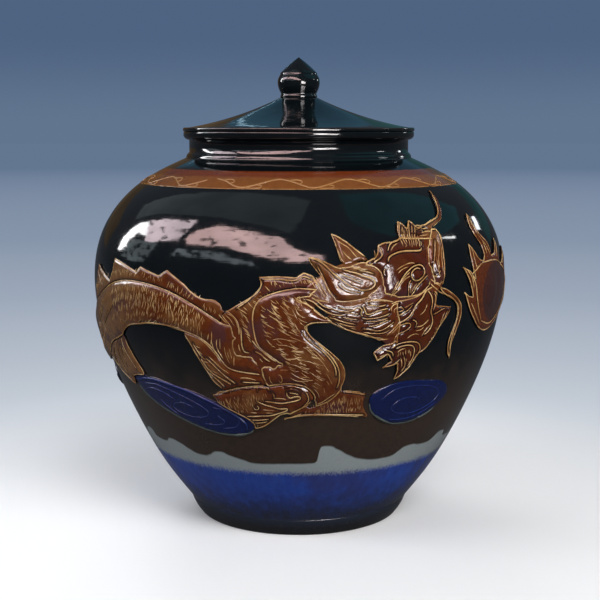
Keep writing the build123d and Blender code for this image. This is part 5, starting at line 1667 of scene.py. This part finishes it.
PANES = {
    "window_crescent": ([(-53.8, 297.9), (-52, 308.2), (-48.8, 316.2), (-45, 313)],
                        [(-56.5, 297.9), (-55.2, 312.3), (-52.2, 322), (-45, 329)], 17, (1.0, 0.98, 1.0), {}),
    "window_left": ([(-45, 309.3), (-38.8, 310.3), (-33, 311.3)],
                    [(-46, 328.5), (-38, 331.2), (-28.8, 330.3)], 10, (1.0, 0.82, 0.88), {"blots": 0.4}),
    "window_right": ([(-30.2, 309.3), (-18.8, 308.2), (-6.8, 299), (0.2, 294.8), (6.2, 294.8)],
                     [(-30.8, 314.2), (-28, 322), (-22, 327.6), (-12.2, 322.9), (-5, 318.1), (0, 307.2),
                      (5.8, 301.1)], 12, (1.0, 0.68, 0.66), {"blots": 0.4}),
    "window_sill": ([(-34.2, 298.5), (-22, 297.5), (-9.8, 290.5)],
                    [(-32.5, 305.2), (-22, 304.2), (-11.5, 294.8)], 2.6, (0.8, 0.92, 1.0), {"blots": 0.47}),
    "window_low": ([(-54, 293), (-49, 291), (-43, 291)], [(-54.6, 299), (-50, 310), (-40, 308)],
                   1.3, (0.8, 0.95, 1.0), {"blots": 0.46}),
    "window_ear": ([(7, 268), (12.6, 264), (18, 264)], [(6.6, 288), (12.6, 286), (19, 284)],
                   34, (1.0, 0.94, 0.94), {"blots": 0.46}),
    "window_mane": ([(4.4, 250), (11, 244), (20, 244)], [(4.8, 260), (11, 257), (20, 258)],
                    9, (1.0, 0.88, 0.86), {"blots": 0.48}),
    "window_jaw": ([(24, 222), (27.6, 232), (30, 240)], [(22.6, 232), (25.4, 242), (28.6, 252)],
                   9, (1.0, 0.9, 0.86), {"blots": 0.48}),
    "window_chest": ([(-13.6, 214), (-9, 206), (-2, 200)], [(-13.6, 246), (-9, 240), (-1, 232)],
                     2.2, (0.72, 0.66, 1.0), {"blots": 0.46}),
    "window_far": ([(41, 312.6), (46.2, 311.8)], [(41, 314.2), (46.2, 313.4)],
                   14, (1.0, 1.0, 1.0), {"columns": 4}),
    "window_side": ([(58.6, 317), (61.8, 316)], [(60, 328), (62.4, 329)],
                    8, (0.9, 0.95, 1.0), {"columns": 4}),
    "sky_left": ([(-54, 328), (-45, 335), (-36, 337), (-24, 334), (-12, 330), (-2, 322)],
                 [(-54, 342), (-44, 352), (-30, 357), (-16, 357), (-4, 355), (4, 350)],
                 0.42, (0.8, 0.95, 1.0), {"distance": 1.7}),
    "sky_right": ([(14, 330), (24, 318), (34, 312), (44, 318), (52, 326)],
                  [(12, 356), (24, 357), (36, 356), (46, 350), (54, 340)],
                  0.3, (0.3, 0.85, 1.0), {"distance": 1.7}),
}

# Strips behind the jar: angles above the rim, left and right in metres, strength, colour, and other settings

BACKDROPS = {
    "sky_above": (17, 58, -0.6, 0.9, 0.24, (0.26, 0.64, 0.95), {}),
    "sky_side": (3, 17, 0.25, 1.8, 0.14, (0.3, 0.8, 0.85), {}),
    "shelf_side": (0, 17, -1.8, -0.25, 0.14, (0.9, 0.62, 0.36), {}),
    "sky_streak": (20.5, 21.2, -0.6, -0.12, 2.6, (0.5, 0.8, 1.0), {"distance": 1.75, "blots": 0.44}),
    "sky_line": (25, 25.8, 0.04, 0.34, 3.4, (0.75, 0.9, 1.0), {"distance": 1.75}),
}

# Lamps: place, size, power and colour

LAMPS = {
    "fill": ((0.9, -1.9, 1.5), 1.6, 76, (1.0, 0.99, 0.97)),
    "side": ((-1.9, -0.6, 1.1), 1.2, 34, (0.94, 0.97, 1.0)),
    "back": ((-0.4, 1.8, 1.6), 1.4, 42, (0.97, 0.98, 1.0)),
}


def camera():
    lens = bpy.data.cameras.new("camera")
    lens.sensor_width = SENSOR
    lens.lens = FOCAL_PIXELS / IMAGE_PIXELS * SENSOR
    lens.shift_x = (IMAGE_PIXELS / 2 - AXIS_PIXEL) / IMAGE_PIXELS
    eye = placed("camera", lens)
    eye.location = CAMERA_PLACE
    eye.rotation_euler = (math.radians(90 - CAMERA_PITCH), 0, 0)
    bpy.context.scene.camera = eye


def mirrored(place, distance):
    """Where a pane has to be so that the wall shows it at this azimuth and height from the front."""
    azimuth, height = place
    spot, raised = (Vector(p) for p in on_wall(np.full(2, azimuth), np.full(2, height), np.array([0, 1])))
    look = (spot - CAMERA_PLACE).normalized()
    return spot + look.reflect((raised - spot).normalized()) * distance


def pane(name, low, high, strength, colour, distance=1.5, columns=12, blots=0.0):
    """A glowing window pane that the wall shows between a lower and an upper line of places on it."""
    share = np.linspace(0, 1, columns + 1)
    sides = []
    for line in (np.array(low, float), np.array(high, float)):
        along = np.linspace(0, 1, len(line))
        sides.append(np.column_stack([np.interp(share, along, line[:, k]) for k in range(2)]))
    points = [mirrored(bottom + (top - bottom) * j / PANE_ROWS, distance)
              for bottom, top in zip(*sides) for j in range(PANE_ROWS + 1)]
    step = PANE_ROWS + 1
    faces = [(i * step + j, (i + 1) * step + j, (i + 1) * step + j + 1, i * step + j + 1)
             for i in range(columns) for j in range(PANE_ROWS)]
    glowing(name, points, faces, strength, colour, blots)


def backdrop(name, low, high, left, right, strength, colour, distance=1.8, blots=0.0):
    """A glowing strip behind the jar, between two angles above the rim, that the lid and shoulder show."""
    corners = [(x, distance * math.cos(a), RIM_TOP * MM + distance * math.sin(a))
               for a in (math.radians(low), math.radians(high)) for x in (left, right)]
    glowing(name, corners, [(0, 1, 3, 2)], strength, colour, blots)


def glowing(name, points, faces, strength, colour, blots):
    """A pane that only reflections show, with dark blots where its noise is below a level."""
    net = Finish(name)
    shape = net.cloud(net.place * (1.0, 1.0, 1.4), 6.0, 3, 0.6)
    soft = net.ease(net.cloud(net.place, 2.2, 2), 0.3, 0.7, 0.72, 1.0)
    bright = net.ease(shape, *(blots + b for b in BLOT_EDGE)) * soft
    net.set(Base_Color=(0, 0, 0, 1), Specular_IOR_Level=0, Emission_Strength=strength,
            Emission_Color=net.mix(bright, tuple(BLOT_GLOW * c for c in colour), colour))
    glass = placed(name, plain_mesh(name, points, faces=faces))
    glass.data.materials.append(net.material)
    glass.visible_camera = False
    glass.visible_diffuse = False


def lamp(name, place, size, power, colour):
    """A soft square lamp that points at the jar."""
    light = bpy.data.lights.new(name, "AREA")
    light.size = size
    light.energy = power
    light.color = colour
    holder = placed(name, light)
    holder.location = place
    holder.rotation_euler = (Vector(AIMED_AT) - Vector(place)).to_track_quat("-Z", "Y").to_euler()
    holder.visible_camera = False
    holder.visible_glossy = False


def floor():
    """The ground: lit and pale near the jar, and further off as light as its distance says."""
    net = Finish("floor")
    far = (net.place * LEVEL).do("LENGTH")
    ahead = ((net.place + FLOOR_AHEAD) * LEVEL).do("LENGTH")
    colour = net.add("ShaderNodeValToRGB", {"stops": FLOOR_COLOURS}, out="Color", Fac=ahead / FLOOR_REACH)
    distant = net.ease(far, *FLOOR_LIT)
    seen = net.camera_ray()
    lit = net.mix(seen, FLOOR_REFLECTED, FLOOR_PALE)
    beyond = net.mix(seen, DIM_LOW, colour)
    net.set(Base_Color=net.mix(distant, lit, (0.0, 0.0, 0.0)), Roughness=0.7, Specular_IOR_Level=0.1,
            Emission_Color=net.mix(distant, (0.0, 0.0, 0.0), beyond), Emission_Strength=1.0)
    corners = [(-FLOOR_HALF, -FLOOR_HALF, 0), (FLOOR_HALF, -FLOOR_HALF, 0), (FLOOR_HALF, FLOOR_HALF, 0),
               (-FLOOR_HALF, FLOOR_HALF, 0)]
    ground = placed("floor", plain_mesh("floor", corners, faces=[(0, 1, 2, 3)]))
    ground.data.materials.append(net.material)


def world():
    """A blue-grey wall behind for the camera, and soft light for everything else."""
    around = bpy.data.worlds.new("room")
    around.use_nodes = True
    bpy.context.scene.world = around
    net = Net(around.node_tree)
    up = net.split(net.add("ShaderNodeTexCoord", out="Generated"))[2]
    wall_behind = net.mix(net.ease(up, 0.0, 0.075), HORIZON, SKY)
    soft_light = net.mix(net.ease(up, 0.0, 0.9), DIM_LOW, DIM_HIGH)
    colour = net.mix(net.camera_ray(), soft_light, wall_behind)
    plug(net.tree.nodes["Background"].inputs["Color"], colour)


def room():
    floor()
    world()
    for name, (*pane_shape, settings) in PANES.items():
        pane(name, *pane_shape, **settings)
    for name, (*strip_shape, settings) in BACKDROPS.items():
        backdrop(name, *strip_shape, **settings)
    for name, settings in LAMPS.items():
        lamp(name, *settings)
    bpy.context.scene.view_settings.view_transform = "Standard"


jar()
lid()
camera()
room()
